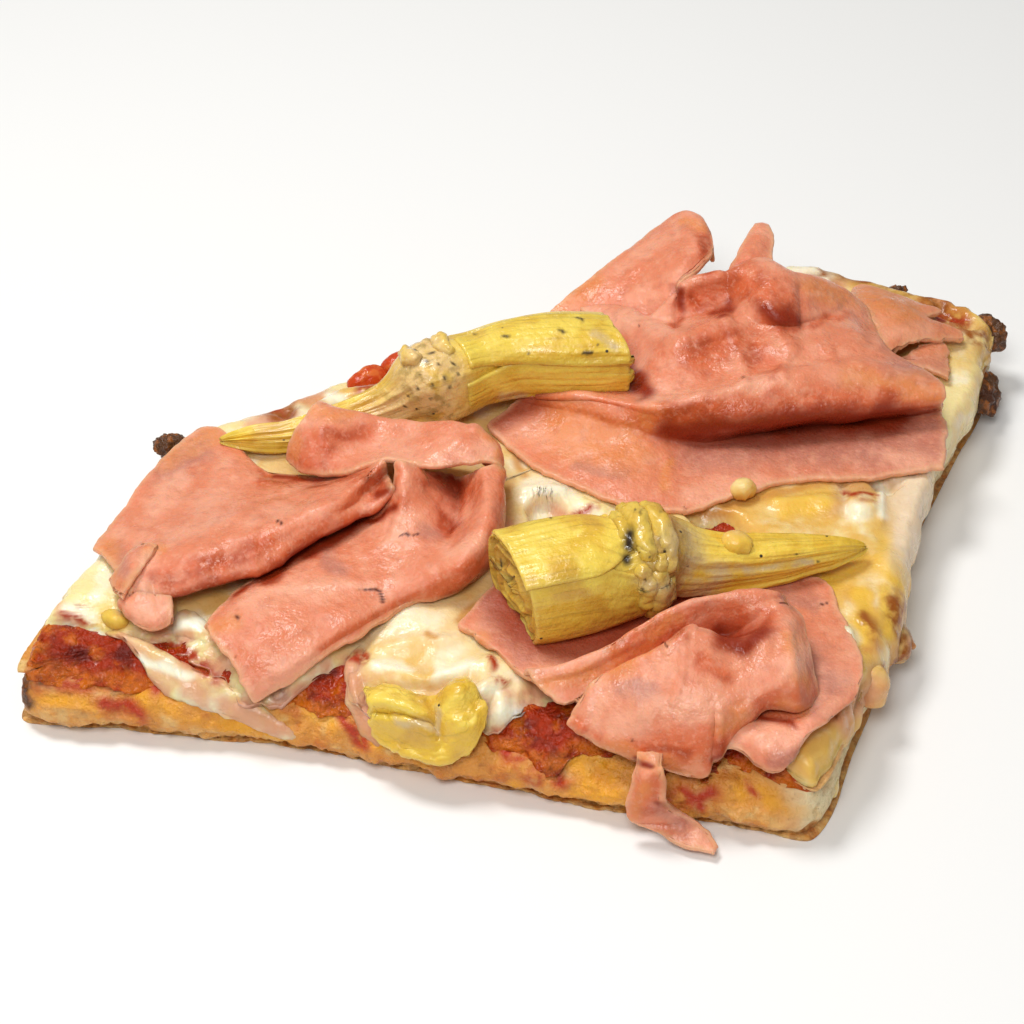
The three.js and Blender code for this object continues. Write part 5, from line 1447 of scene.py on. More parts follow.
def seen(guide, ground=bed):
    """Points in millimetres from guide points of the photo: the camera's line through each is
    followed to the point where it is at the given height above the ground."""
    (corner, zoom), rows = guide
    rows = np.asarray(rows, float)
    aside = (corner[0] + rows[..., 0] / zoom - PHOTO_SIZE / 2) * PIXEL
    down = (corner[1] + rows[..., 1] / zoom - PHOTO_SIZE * (0.5 + FRAMING_SHIFT)) * PIXEL
    right, up, back = camera_axes()
    ray = aside[..., None] * right - down[..., None] * up - back
    eye = CAMERA_DISTANCE / MM * back
    z = rows[..., 2] + DOUGH_HEIGHT + CHEESE_TOP
    for _ in range(SIGHT_STEPS):
        point = eye + ray * ((z - eye[2]) / ray[..., 2])[..., None]
        z = mix(z, ground(point[..., 0], point[..., 1]) + rows[..., 2], 0.3)
    return point


def lofted(points, columns, rows):
    """A smooth surface through a table of points, by smooth curves along the rows and then across
    them, with close steps at its rim."""
    wide = np.linalg.norm(np.diff(points, axis=1), axis=-1).sum(axis=1).mean()
    deep = np.linalg.norm(np.diff(points, axis=0), axis=-1).sum(axis=0).mean()
    across = through(points, stations(rows, deep))
    return through(np.swapaxes(across, 0, 1), stations(columns, wide))


def torn_rim(middle, amount, seed):
    """Pushes the rim of a surface in and out, along the surface, by lumps on lumps."""
    du, dv = unit(np.gradient(middle, axis=0)), unit(np.gradient(middle, axis=1))
    steps_u, steps_v = (np.linalg.norm(np.diff(middle, axis=k), axis=-1).mean(axis=1 - k) for k in (0, 1))
    from_u = np.concatenate([[0], np.cumsum(steps_u)])[:, None]
    from_v = np.concatenate([[0], np.cumsum(steps_v)])[None]
    push = amount * (lumps(middle, 6, seed) + 0.45 * lumps(middle, 2.2, seed + 1)
                     + 0.2 * lumps(middle, 0.9, seed + 2))
    along = np.exp(-(from_u[-1] - from_u) / 3) - np.exp(-from_u / 3)
    over = np.exp(-(from_v[:, -1:] - from_v) / 3) - np.exp(-from_v / 3)
    return middle + (push * along)[..., None] * du + (push * over)[..., None] * dv


def resting(middle, half):
    """Lifts a surface off the cheese where the cheese would come through, by a soft maximum."""
    least = slab_level(middle[..., 0], middle[..., 1]) + half - 0.15
    lifted = middle.copy()
    lifted[..., 2] = least + 0.35 * np.logaddexp(0, (middle[..., 2] - least) / 0.35)
    return lifted


# What the hollows are measured against: all toppings, on a grid of cells in millimetres.
ALL_HAM = [HAM_LEFT_FLAP, HAM_LEFT_ROLL, HAM_LEFT_TOP, HAM_RIGHT, HAM_RIGHT_TIP, HAM_BACK, HAM_CORNER,
           HAM_FRONT_FOLD, HAM_FRONT_BASE]
CELL = 1.5
CELLS_FROM = -130.0
BLURS = 60


@functools.lru_cache
def topping_relief():
    """Height of the slab and of all that lies on it, on a grid of cells, blurred over about 7 mm."""
    count = int(-2 * CELLS_FROM / CELL)
    x, y = np.meshgrid(*[CELLS_FROM + CELL * (np.arange(count) + 0.5)] * 2, indexing="ij")
    relief = np.where(inset(x, y) > 0, bed(x, y), 0)
    clouds = [lofted(seen(guide), 160, 160) for guide in ALL_HAM]
    t, angle = np.linspace(0, 1, 200)[:, None], np.linspace(0, 2 * np.pi, 90)[None]
    clouds += [tube_at(spine, t, angle) for spine in (ARTICHOKE_FRONT, ARTICHOKE_BACK)]
    for cloud in clouds:
        cell = ((cloud[..., :2] - CELLS_FROM) / CELL).astype(int)
        np.maximum.at(relief, (cell[..., 0], cell[..., 1]), cloud[..., 2])
    return blurred(relief, BLURS)


# Its depth serves as a mask of painted shade in the ham's folds and in the cheese beside the toppings.
def cavity(points, low=0.6, high=7.0):
    """How deep points lie, from 0 to 1, below the blurred height of what is round them."""
    relief = topping_relief()
    place = np.clip((points[..., :2] - CELLS_FROM) / CELL - 0.5, 0, len(relief) - 2)
    i, j = np.moveaxis(np.floor(place).astype(int), -1, 0)
    u, v = np.moveaxis(place - np.floor(place), -1, 0)
    around = mix(mix(relief[i, j], relief[i + 1, j], u), mix(relief[i, j + 1], relief[i + 1, j + 1], u), v)
    return ramp(low, high, around - points[..., 2])


# Tints, small ridges and slits of the ham, on enlarged parts of the photo. The red and deep tints are
# painted shade on fold faces, in folds and under crests; the mauve tints are partly a wet tone and partly
# painted shade under folds and beside the artichokes; the pale tints are partly painted light along lit
# ridges.
HAM_TINTS = [
    (ENLARGED_RIGHT, {
        "mauve": [(58, (640, 700), (900, 685), (1150, 695), (1330, 690)),
                  (36, (650, 650), (1000, 635), (1300, 640)),
                  (34, (1210, 470), (1330, 470)), (26, (450, 480), (480, 540)),
                  (18, (300, 745), (420, 775))],
        "amber": [(68, (220, 620), (330, 660), (440, 700)), (28, (480, 610), (640, 615)),
                  (34, (1090, 500), (1320, 530)),
                  (30, (230, 290), (330, 220)), (16, (600, 48), (650, 64)), (32, (960, 230), (1050, 255)),
                  (14, (560, 740), (540, 800)), (44, (1100, 240), (1230, 300))],
        "red": [(32, (560, 605), (760, 580), (1000, 560), (1180, 560)),
                (48, (760, 230), (860, 250), (890, 310)),
                (46, (640, 430), (720, 400)), (38, (800, 410), (840, 450)), (16, (610, 265), (690, 290)),
                (18, (650, 110), (665, 190)), (14, (960, 335), (1050, 320)), (12, (575, 240), (572, 340))],
        "pale": [(24, (320, 315), (430, 340)), (40, (60, 615), (160, 650)), (44, (480, 290), (530, 330)),
                 (30, (620, 830), (780, 800)), (24, (1190, 720), (1320, 750)),
                 (16, (480, 560), (700, 548), (860, 490)),
                 (24, (1170, 370), (1290, 370))],
        "deep": [(32, (560, 650), (900, 612), (1220, 606)), (26, (840, 300), (900, 320)),
                 (22, (445, 480), (480, 540)),
                 (14, (690, 300), (720, 290)), (12, (575, 240), (575, 300))]}),
    (ENLARGED_LEFT, {
        "mauve": [(30, (300, 660), (420, 620)), (26, (760, 480), (800, 560)),
                  (26, (1080, 440), (1170, 420)),
                  (26, (90, 500), (110, 560)), (40, (260, 240), (360, 170)),
                  (26, (1330, 370), (1350, 420))],
        "amber": [(34, (60, 480), (70, 600)), (18, (190, 495), (240, 490)), (24, (700, 50), (840, 60)),
                  (20, (390, 740), (480, 720)), (14, (420, 830), (540, 985)), (26, (230, 210), (420, 120)),
                  (14, (660, 200), (680, 120)), (16, (1270, 120), (1330, 250)),
                  (18, (130, 600), (170, 560))],
        "red": [(26, (300, 650), (560, 580), (700, 490), (900, 385), (975, 350)),
                (30, (240, 590), (420, 540), (600, 470)),
                (18, (560, 262), (790, 262), (900, 235)), (34, (730, 150), (770, 220)),
                (34, (920, 300), (960, 250)),
                (40, (1170, 250), (1190, 300)), (20, (760, 120), (900, 130)),
                (20, (1130, 400), (1170, 440))],
        "pale": [(30, (220, 370), (300, 270)), (34, (540, 940), (700, 850)), (30, (1160, 490), (1260, 470)),
                 (26, (1120, 200), (1260, 190)), (20, (960, 470), (1000, 400)),
                 (26, (200, 520), (190, 640)),
                 (34, (180, 690), (260, 700)), (16, (500, 640), (900, 600))],
        "deep": [(14, (300, 665), (560, 592), (700, 500), (900, 395), (975, 362)),
                 (24, (1160, 255), (1190, 290)),
                 (16, (930, 300), (965, 300)), (10, (600, 266), (790, 268)), (14, (1165, 420))]}),
    (ENLARGED_FRONT, {
        "mauve": [(50, (130, 60), (190, 150), (260, 240)), (44, (1180, 260), (1240, 340)),
                  (34, (1190, 400)),
                  (26, (1060, 590), (1140, 560)), (30, (1100, 60), (1180, 70)),
                  (30, (560, 350), (660, 375)),
                  (26, (690, 760), (770, 785))],
        "amber": [(34, (260, 345), (420, 315), (560, 270)), (24, (620, 230), (740, 130)),
                  (34, (520, 545), (660, 595), (780, 625)),
                  (30, (880, 480), (960, 430)), (24, (1100, 190), (1150, 330)), (20, (60, 190), (110, 180)),
                  (26, (600, 760), (640, 690)), (24, (1090, 410), (1150, 420))],
        "red": [(30, (890, 185), (990, 190), (1030, 140)), (22, (720, 190), (760, 180)),
                (24, (870, 540), (880, 620)),
                (22, (1040, 430), (1130, 455)), (26, (820, 260), (900, 300)), (14, (640, 540), (760, 560))],
        "pale": [(40, (700, 420), (870, 420)), (30, (500, 330), (480, 460)), (34, (540, 480), (640, 450)),
                 (14, (920, 540), (980, 500)), (30, (300, 255), (480, 235)), (30, (1020, 510), (1100, 500)),
                 (24, (800, 840), (850, 890)), (34, (1100, 300), (1140, 240))],
        "deep": [(34, (890, 185), (960, 205), (1020, 168)), (12, (860, 600), (900, 560)),
                 (10, (1010, 450), (1130, 470)),
                 (12, (620, 590), (640, 600)), (12, (690, 735), (760, 740))]}),
]
HAM_CREASES = [
    (ENLARGED_RIGHT, [
        (9, -1.2, (578, 235), (572, 350)), (10, 0.8, (590, 235), (640, 215), (700, 205)),
        (9, -0.9, (620, 262), (640, 290), (705, 302)),
        (12, 0.9, (715, 330), (755, 420), (772, 515)), (10, 0.6, (640, 352), (720, 335)),
        (9, -1.1, (925, 240), (932, 350)),
        (10, 0.7, (1050, 250), (1120, 330), (1150, 410)), (9, -0.8, (930, 335), (1000, 325), (1050, 300)),
        (12, 0.8, (870, 365), (905, 420), (880, 480)), (10, 0.6, (985, 390), (1030, 455)),
        (9, 0.7, (490, 565), (700, 548), (880, 480)),
        (10, 0.7, (500, 345), (600, 385)), (14, -0.8, (720, 205), (740, 330)),
        (12, 0.8, (590, 60), (640, 130), (570, 220)),
        (16, 0.6, (380, 600), (450, 660), (500, 780)), (12, 0.5, (520, 600), (540, 700), (560, 800)),
        (9, 0.4, (900, 700), (1100, 690), (1240, 720)), (10, -0.5, (650, 400), (740, 380))]),
    (ENLARGED_LEFT, [
        (10, 0.7, (405, 430), (620, 350), (880, 265)), (8, -0.6, (585, 390), (625, 398)),
        (10, 0.8, (1000, 230), (1015, 330), (985, 430)),
        (14, -1.0, (1090, 290), (1150, 400), (1160, 440)), (10, 0.7, (1050, 250), (1120, 330)),
        (9, 0.5, (600, 625), (870, 605)),
        (9, 0.5, (530, 460), (545, 560)), (9, 0.5, (625, 500), (610, 560)),
        (12, 1.0, (1235, 110), (1300, 170), (1320, 260)),
        (12, 0.8, (235, 495), (175, 560), (110, 690)), (10, -0.9, (140, 560), (100, 640)),
        (12, 0.9, (190, 620), (140, 700)),
        (10, -0.8, (215, 610), (235, 680)), (10, 0.5, (190, 400), (260, 330), (300, 260)),
        (8, 0.4, (430, 250), (640, 300)),
        (12, 0.6, (1050, 220), (1160, 170), (1240, 120)), (9, -0.6, (700, 60), (760, 220)),
        (10, 0.5, (700, 380), (900, 320))]),
    (ENLARGED_FRONT, [
        (8, 0.7, (795, 180), (900, 215), (960, 215)), (8, 0.9, (710, 240), (790, 160)),
        (9, 0.6, (765, 190), (760, 300), (730, 400)),
        (8, -0.6, (862, 430), (850, 640)), (7, 0.6, (878, 450), (870, 610)),
        (9, 0.7, (470, 320), (440, 470), (400, 510)),
        (10, 0.9, (350, 440), (430, 480)), (9, 0.7, (880, 420), (980, 440)),
        (9, 0.6, (1100, 180), (1130, 380)),
        (8, 0.4, (600, 330), (620, 450)), (9, 0.6, (260, 330), (420, 290), (620, 190)),
        (10, 0.6, (1000, 520), (1110, 480), (1230, 460)),
        (8, 0.6, (640, 640), (690, 620), (690, 720)), (8, -0.6, (600, 790), (740, 795))]),
]
# Slits in the meat, painted as dark shade: half width, then a line on the enlarged photo.
HAM_SLITS = [
    (ENLARGED_LEFT, {"slit": [(5, (888, 616), (918, 622), (938, 650)),
                              (3, (988, 458), (1010, 446), (1025, 449)),
                              (3, (1040, 444), (1056, 438)), (6, (478, 711)),
                              (3, (600, 388), (622, 396))]}),
    (ENLARGED_RIGHT, {"slit": [(3, (462, 348)), (4, (364, 368), (386, 352)), (3, (762, 494))]}),
    (ENLARGED_FRONT, {"slit": [(3, (704, 206), (703, 226)), (3, (1068, 68), (1098, 70)),
                               (3, (1196, 70), (1220, 70)),
                               (5, (596, 514))]}),
]


def ham_material(colours, name="Cooked ham", roasted=0.0):
    """Cooked ham cut thin and warmed in the oven: a moist, fine-grained pink meat that lets light through.
    Light and shade are painted into its colour: paler where it lies flat and along lit ridges, orange
    painted shade on its steep sides, orange-red and dark red painted shade in the folds and under the
    crests, mauve that is partly a wet tone and partly painted shade under the folds, dark painted shade
    in the small slits, and a paler rim that is partly a rind of fat and partly a painted edge highlight."""
    material, tree, surface, spot = start_material(name)
    fold, rim, slit, steep = masks_of(tree, "fold", "rim", "slit", "steep")
    mauve, amber, red, pale, deep = masks_of(tree, "mauve", "amber", "red", "pale", "deep")
    colour = painted(
        tree, colours.pink,
        (times(tree, mottle(tree, spot, 14, 0.44, 0.68, 2), 0.6), colours.pale),
        # Painted shade: steep sides turn orange, as less light falls on them.
        (times(tree, steep, 0.7), colours.orange),
        # Partly a wet tone, partly painted shade under folds and beside the artichokes.
        (times(tree, mauve, 0.6), colours.mauve),
        (times(tree, amber, 0.7), colours.amber),
        # Partly painted light: the pale tints lighten lit ridges.
        (times(tree, pale, 0.7), colours.pale),
        # Painted shade: the red tints darken fold faces, crest fronts and the roll's shadow line.
        (times(tree, red, 0.75), colours.orange),
        (times(tree, red, mottle(tree, spot, 6, 0.4, 0.62, 2), 0.5), colours.deep),
        (times(tree, mottle(tree, spot, 4.5, 0.5, 0.68, 4), 0.35), colours.pale),
        (times(tree, mottle(tree, spot, 2.2, 0.5, 0.7, 4), 0.2), colours.deep),
        (times(tree, mottle(tree, spot, 1.1, 0.52, 0.66, 3), 0.25), colours.pale),
        # Painted shade: the deep tints and the fold mask lay dark red in folds, under crests, on faces
        # turned down and in hollows among the toppings.
        (deep, colours.deep),
        (times(tree, fold, 0.9), colours.deep),
        (times(tree, rim, mottle(tree, spot, 7, 0.35, 0.6), 0.45), colours.tan),
        # Paler rim: partly a rind of fat, partly a painted edge highlight.
        (times(tree, rim, 0.3), colours.fat),
        (roasted, colours.tan),
        # Painted shade inside the small slits.
        (slit, colours.slit))
    wet = mottle(tree, spot, 8, 0.42, 0.6, 3)
    normal = bumps(
        tree,
        (mottle(tree, spot, 2.6, 0.3, 0.7, 3), 0.4, 0.35),
        (mottle(tree, spot, 0.8, 0.3, 0.7, 3), 0.14, 0.4))
    wire(tree, surface, {
        "Base Color": colour, "Roughness": between(tree, wet, 0.24, 0.5), "IOR": 1.4, "Normal": normal,
        **lit_inside(0.28, (1.0, 0.3, 0.12), 0.003)})
    return material


def lay_ham(name, parts, colours, material, node, slot, ground=bed, torn=0.7):
    """Puts the sheets of one ham slice, with wrinkles along their normals, into one piece."""
    thickness, wrinkle = colours.thickness / MM, colours.wrinkle / MM
    slice_of_ham = Parts()
    for number, (guide, columns, rows) in enumerate(parts):
        seed = 40 + 7 * number + len(name)
        middle = lofted(seen(guide, ground), columns, rows)
        middle[..., 2] += thickness / 2
        normal = sheet_normals(middle)
        if normal[..., 2].mean() < 0:
            middle, normal = middle[::-1], -normal[::-1]
        steep = 1 - np.abs(normal[..., 2])
        middle = torn_rim(middle, torn, seed)
        crease = wrinkle * (0.7 * lumps(middle, 11, seed) + 0.45 * lumps(middle, 5, seed + 1)
                            + 0.2 * lumps(middle, 2.2, seed + 2))
        middle = middle + (crease + 0.65 * creases(middle, HAM_CREASES))[..., None] * normal
        if ground is bed:
            middle = resting(middle, thickness / 2)
        sheet, rim, run, both = sheet_points(middle, thickness, 0.6)
        # Painted shade: the fold mask rises in hollows of the sheet, on faces turned down and where the
        # sheet lies low among the toppings, and steep marks the steep sides that are painted a shaded
        # orange.
        hollow = np.clip(0.3 * (blurred(middle[..., 2], BLURS) - middle[..., 2]) - 0.15, 0, 0.8)
        under = ramp(0.05, -0.5, normal[..., 2])
        slice_of_ham.sheet(
            sheet, middle.shape, fold=both(np.clip(hollow + 0.7 * under + 0.85 * cavity(middle), 0, 0.85)),
            rim=ramp(2.2, 0.2, rim), steep=both(ramp(0.1, 0.6, steep)), uv=run)
    points, faces, masks = slice_of_ham.joined()
    masks.update(tints(points, HAM_TINTS, "mauve", "amber", "red", "pale", "deep"))
    masks.update(tints(points, HAM_SLITS, "slit"))
    put_piece(name, points, faces, masks, material, slot, node)


class PIZZA_OT_ham(bpy.types.Operator):
    """Fold the ham slices and lay them on the cheese"""
    bl_idname = "pizza.lay_ham"
    bl_label = "Ham"
    bl_options = {"REGISTER", "UNDO"}

    def execute(self, context):
        colours = context.scene.pizza_ham
        moist = ham_material(colours)
        roasted = ham_material(colours, "Oven-dried ham", 0.32)
        lay_ham("ham_slice_right", [(HAM_RIGHT, 210, 175), (HAM_RIGHT_TIP, 40, 40)], colours, moist,
                "ham_right", "cooked_ham")
        lay_ham("ham_slice_left", [(HAM_LEFT_FLAP, 100, 150), (HAM_LEFT_ROLL, 105, 120),
                                   (HAM_LEFT_TOP, 90, 45), (HAM_LEFT_END, 40, 40),
                                   (HAM_LEFT_PLEAT, 45, 30)],
                colours, moist, "ham_left", "cooked_ham")
        lay_ham("ham_slice_front", [(HAM_FRONT_BASE, 150, 90), (HAM_FRONT_FOLD, 150, 150)], colours, moist,
                "ham_front", "cooked_ham")
        lay_ham("ham_slice_back", [(HAM_BACK, 110, 120)], colours, moist, "ham_back", "cooked_ham")
        lay_ham("ham_slice_corner", [(HAM_CORNER, 90, 80), (HAM_CORNER_UNDER, 50, 50)], colours, roasted,
                "ham_corner", "browned_ham", torn=1.3)
        lay_ham("ham_torn_scrap", [(HAM_SCRAP, 120, 50)], colours, moist, "ham_scrap", "cooked_ham",
                ground=table_top)
        return {"FINISHED"}


# ---------------------------------------------------------------- artichokes and tomato
# Tints of the artichokes on enlarged parts of the photo: pepper specks, a grey veil, the cut heart, and
# painted highlights.
ARTICHOKE_TINTS = [
    (ENLARGED_BLOCK, {
        "speck": [(22, (500, 185), (502, 235)), (20, (494, 280)), (5, (60, 285), (62, 300)),
                  (5, (255, 128)), (5, (232, 140)), (5, (1090, 262)),
                  (5, (1172, 293)), (4, (60, 345)), (5, (550, 110)), (5, (590, 260)), (5, (575, 345)),
                  (6, (560, 380)), (5, (640, 380)),
                  (4, (520, 90)), (4, (600, 100)), (4, (700, 300))],
        "grey": [(60, (670, 200), (740, 330)), (50, (600, 360), (700, 430)), (40, (830, 330), (760, 410)),
                 (14, (880, 320), (1140, 300))],
        "glow": [(34, (360, 280), (385, 360)), (24, (150, 180), (200, 330)), (30, (480, 370), (460, 420)),
                 (24, (560, 130), (600, 180)),
                 (14, (330, 170), (250, 200)), (12, (900, 250), (1060, 230))]}),
    (ENLARGED_UPPER, {
        "speck": [(7, (1118, 118), (1124, 120)), (6, (948, 138), (965, 140)),
                  (5, (1205, 202), (1220, 196)), (4, (1180, 80), (1200, 84)),
                  (6, (700, 195)), (5, (690, 225)), (5, (668, 180)), (6, (730, 240)), (5, (655, 300)),
                  (4, (710, 290)), (5, (745, 275)),
                  (4, (640, 340)), (5, (780, 225)), (4, (672, 262)), (6, (790, 260)), (5, (700, 330)),
                  (4, (620, 370)), (5, (760, 300)),
                  (4, (850, 128)), (4, (1010, 190)), (4, (1240, 170))],
        "grey": [(16, (1240, 120), (1290, 170)), (12, (930, 330), (1000, 330))],
        "glow": [(34, (1020, 250), (1290, 270)), (40, (860, 180), (960, 160)),
                 (26, (1000, 120), (1160, 100)), (22, (900, 260), (950, 300)), (14, (40, 480), (200, 490))],
        "heart_patch": [(60, (680, 200), (740, 260)), (50, (640, 330), (560, 390)), (30, (700, 140))]}),
    (ENLARGED_RIM, {
        "glow": [(24, (120, 530), (260, 560)), (24, (360, 560), (470, 500)), (20, (430, 620), (480, 580))],
        "grey": [(12, (350, 560), (345, 660)), (12, (200, 590), (330, 640))]}),
]


def artichoke_material(colours, name, heart_colour):
    """Artichoke kept in oil: smooth waxy leaves with fine fibres along them, paler where they were
    cut, a grainy cut heart, and pepper stuck to the oil. Light is painted into its colour: a brighter
    yellow on the faces turned up, and painted highlights."""
    material, tree, surface, spot = start_material(name)
    grain = add(tree, "ShaderNodeUVMap", uv_map="Surface").outputs[0]
    heart, top, speck, rim = masks_of(tree, "heart", "top", "speck", "rim")
    grey, glow, patch = masks_of(tree, "grey", "glow", "heart_patch")
    # One unit of the surface map is 100 mm: fibres are about 1 mm apart and 25 mm long.
    fibre = add(tree, "ShaderNodeTexNoise", {
        "Vector": add(tree, "ShaderNodeMapping", {"Vector": grain, "Scale": (4.0, 85.0, 1.0)}).outputs[0],
        "Scale": 1.0, "Detail": 4.0}).outputs[0]
    line = add(tree, "ShaderNodeMapRange", {0: fibre, 1: 0.52, 2: 0.68},
               interpolation_type="SMOOTHSTEP").outputs[0]
    pepper = add(tree, "ShaderNodeTexVoronoi", {"Vector": spot, "Scale": 1 / (4.5 * MM)}).outputs["Distance"]
    dots = add(tree, "ShaderNodeMapRange", {0: pepper, 1: 0.1, 2: 0.06}).outputs[0]
    sparse = mottle(tree, spot, 9, 0.52, 0.58)
    colour = painted(
        tree, colours.yellow,
        # Painted light: faces turned up are a brighter yellow.
        (times(tree, top, mottle(tree, spot, 8, 0.34, 0.6)), colours.bright),
        (times(tree, mottle(tree, spot, 11, 0.5, 0.68), 0.6), colours.ochre),
        (times(tree, line, 0.3), colours.olive),
        (times(tree, rim, 0.5), colours.edge),
        # Painted highlights.
        (glow, colours.bright),
        (times(tree, grey, mottle(tree, spot, 4, 0.2, 0.6, 3), 0.9), colours.veil),
        (patch, heart_colour),
        (times(tree, patch, mottle(tree, spot, 2.2, 0.5, 0.66, 4), 0.5), colours.olive),
        (heart, heart_colour),
        (times(tree, heart, mottle(tree, spot, 2.6, 0.45, 0.65, 4), 0.6), colours.olive),
        (times(tree, heart, mottle(tree, spot, 5, 0.52, 0.68, 3), 0.6), colours.yellow),
        (times(tree, dots, sparse), colours.speck),
        (speck, colours.speck))
    ridges = add(tree, "ShaderNodeMapRange", {0: fibre, 1: 0.3, 2: 0.7}).outputs[0]
    normal = bumps(
        tree,
        (ridges, 0.4, 0.28),
        (mottle(tree, spot, 3, 0.3, 0.7, 3), 0.5, 0.4),
        (mottle(tree, spot, 1.2, 0.3, 0.7, 4), 0.3, 0.25))
    wire(tree, surface, {
        "Base Color": colour, "Roughness": between(tree, mottle(tree, spot, 5, 0.4, 0.6), 0.2, 0.42),
        "IOR": 1.45, "Normal": normal, **lit_inside(0.25, (1.0, 0.8, 0.2), 0.003),
        "Coat Weight": 0.4, "Coat Roughness": 0.12})
    return material


SLANT = 0.04  # share of the length that an oblique cut takes up to each side
BLOCK_SIDES = 140
BLOCK_RINGS = 240
CUT_RINGS = 40
KNOB_STEPS = (30, 30)
SQUASHED_STEPS = (140, 100)
LOBE_STEPS = (70, 90)


def slanted(t, angle):
    """Shares of the length round a block whose end is cut obliquely: less on one side of the cut."""
    return t - SLANT * np.cos(angle) * ramp(0.3, 0.0, t)


def leaf_sheet(spine, leaf, seed):
    """One leaf that wraps the block: a patch of the tube between two angles, standing off it, with
    a slightly uneven cut end, and narrowing towards the heart."""
    first, last, start, stop, off = leaf
    uu, vv = np.meshgrid(stations(64, 40), stations(44, 25), indexing="ij")
    narrow = 0.5 * 0.3 * ramp(0.55, 1, uu)
    spread = np.radians(first + (last - first) * (narrow + vv * (1 - 2 * narrow)))
    crooked = 0.003 * np.sin(5 * vv + seed) + 0.002 * lumps(np.stack([9 * vv, 0 * vv], axis=-1), 1.5, seed)
    t = start + crooked * bell(uu, 0, 0.3) + uu * (stop - start)
    skin = tube_at(spine, slanted(t, spread), spread, ends=False)
    outward = sheet_normals(skin)
    centre = skin.mean(axis=(0, 1)) - through(np.asarray(spine, float)[:, :3], (start + stop) / 2)
    if (outward * centre).sum(axis=-1).mean() < 0:
        outward = -outward
    section = np.stack([30 * uu, 20 * vv], axis=-1)
    ribs = (0.16 * lumps(section * np.array([0.1, 1]), 1.0, seed + 1)
            + 0.2 * lumps(section * np.array([0.2, 1]), 3, seed + 2))
    lift = off + ribs + 0.3 * np.sin(np.pi * vv) - 0.7 * ramp(0.7, 1, uu)
    return skin + lift[..., None] * outward


def cut_end(ring, ahead, seed):
    """Rings from a block's rim to the middle of its cut end, which is stepped by its leaf layers:
    a wave along the radius, bent by lumps."""
    centre = ring.mean(axis=0)
    angle = np.linspace(0, 2 * np.pi, ring.shape[0], endpoint=False)[None]
    share = np.linspace(0.985, 0.04, CUT_RINGS)[:, None]
    around = np.stack(np.broadcast_arrays(9 * share, 2 * np.cos(angle), 2 * np.sin(angle)), axis=-1)
    depth = 0.6 * np.sin(18 * share + 2 * lumps(around, 2, seed)) + 0.6 * lumps(around, 1, seed + 4) - 0.6
    size = np.linalg.norm(ring - centre, axis=-1).mean() / 9
    steps = size * depth * ramp(1.0, 0.9, share)
    return centre + share[..., None] * (ring - centre) + steps[..., None] * ahead


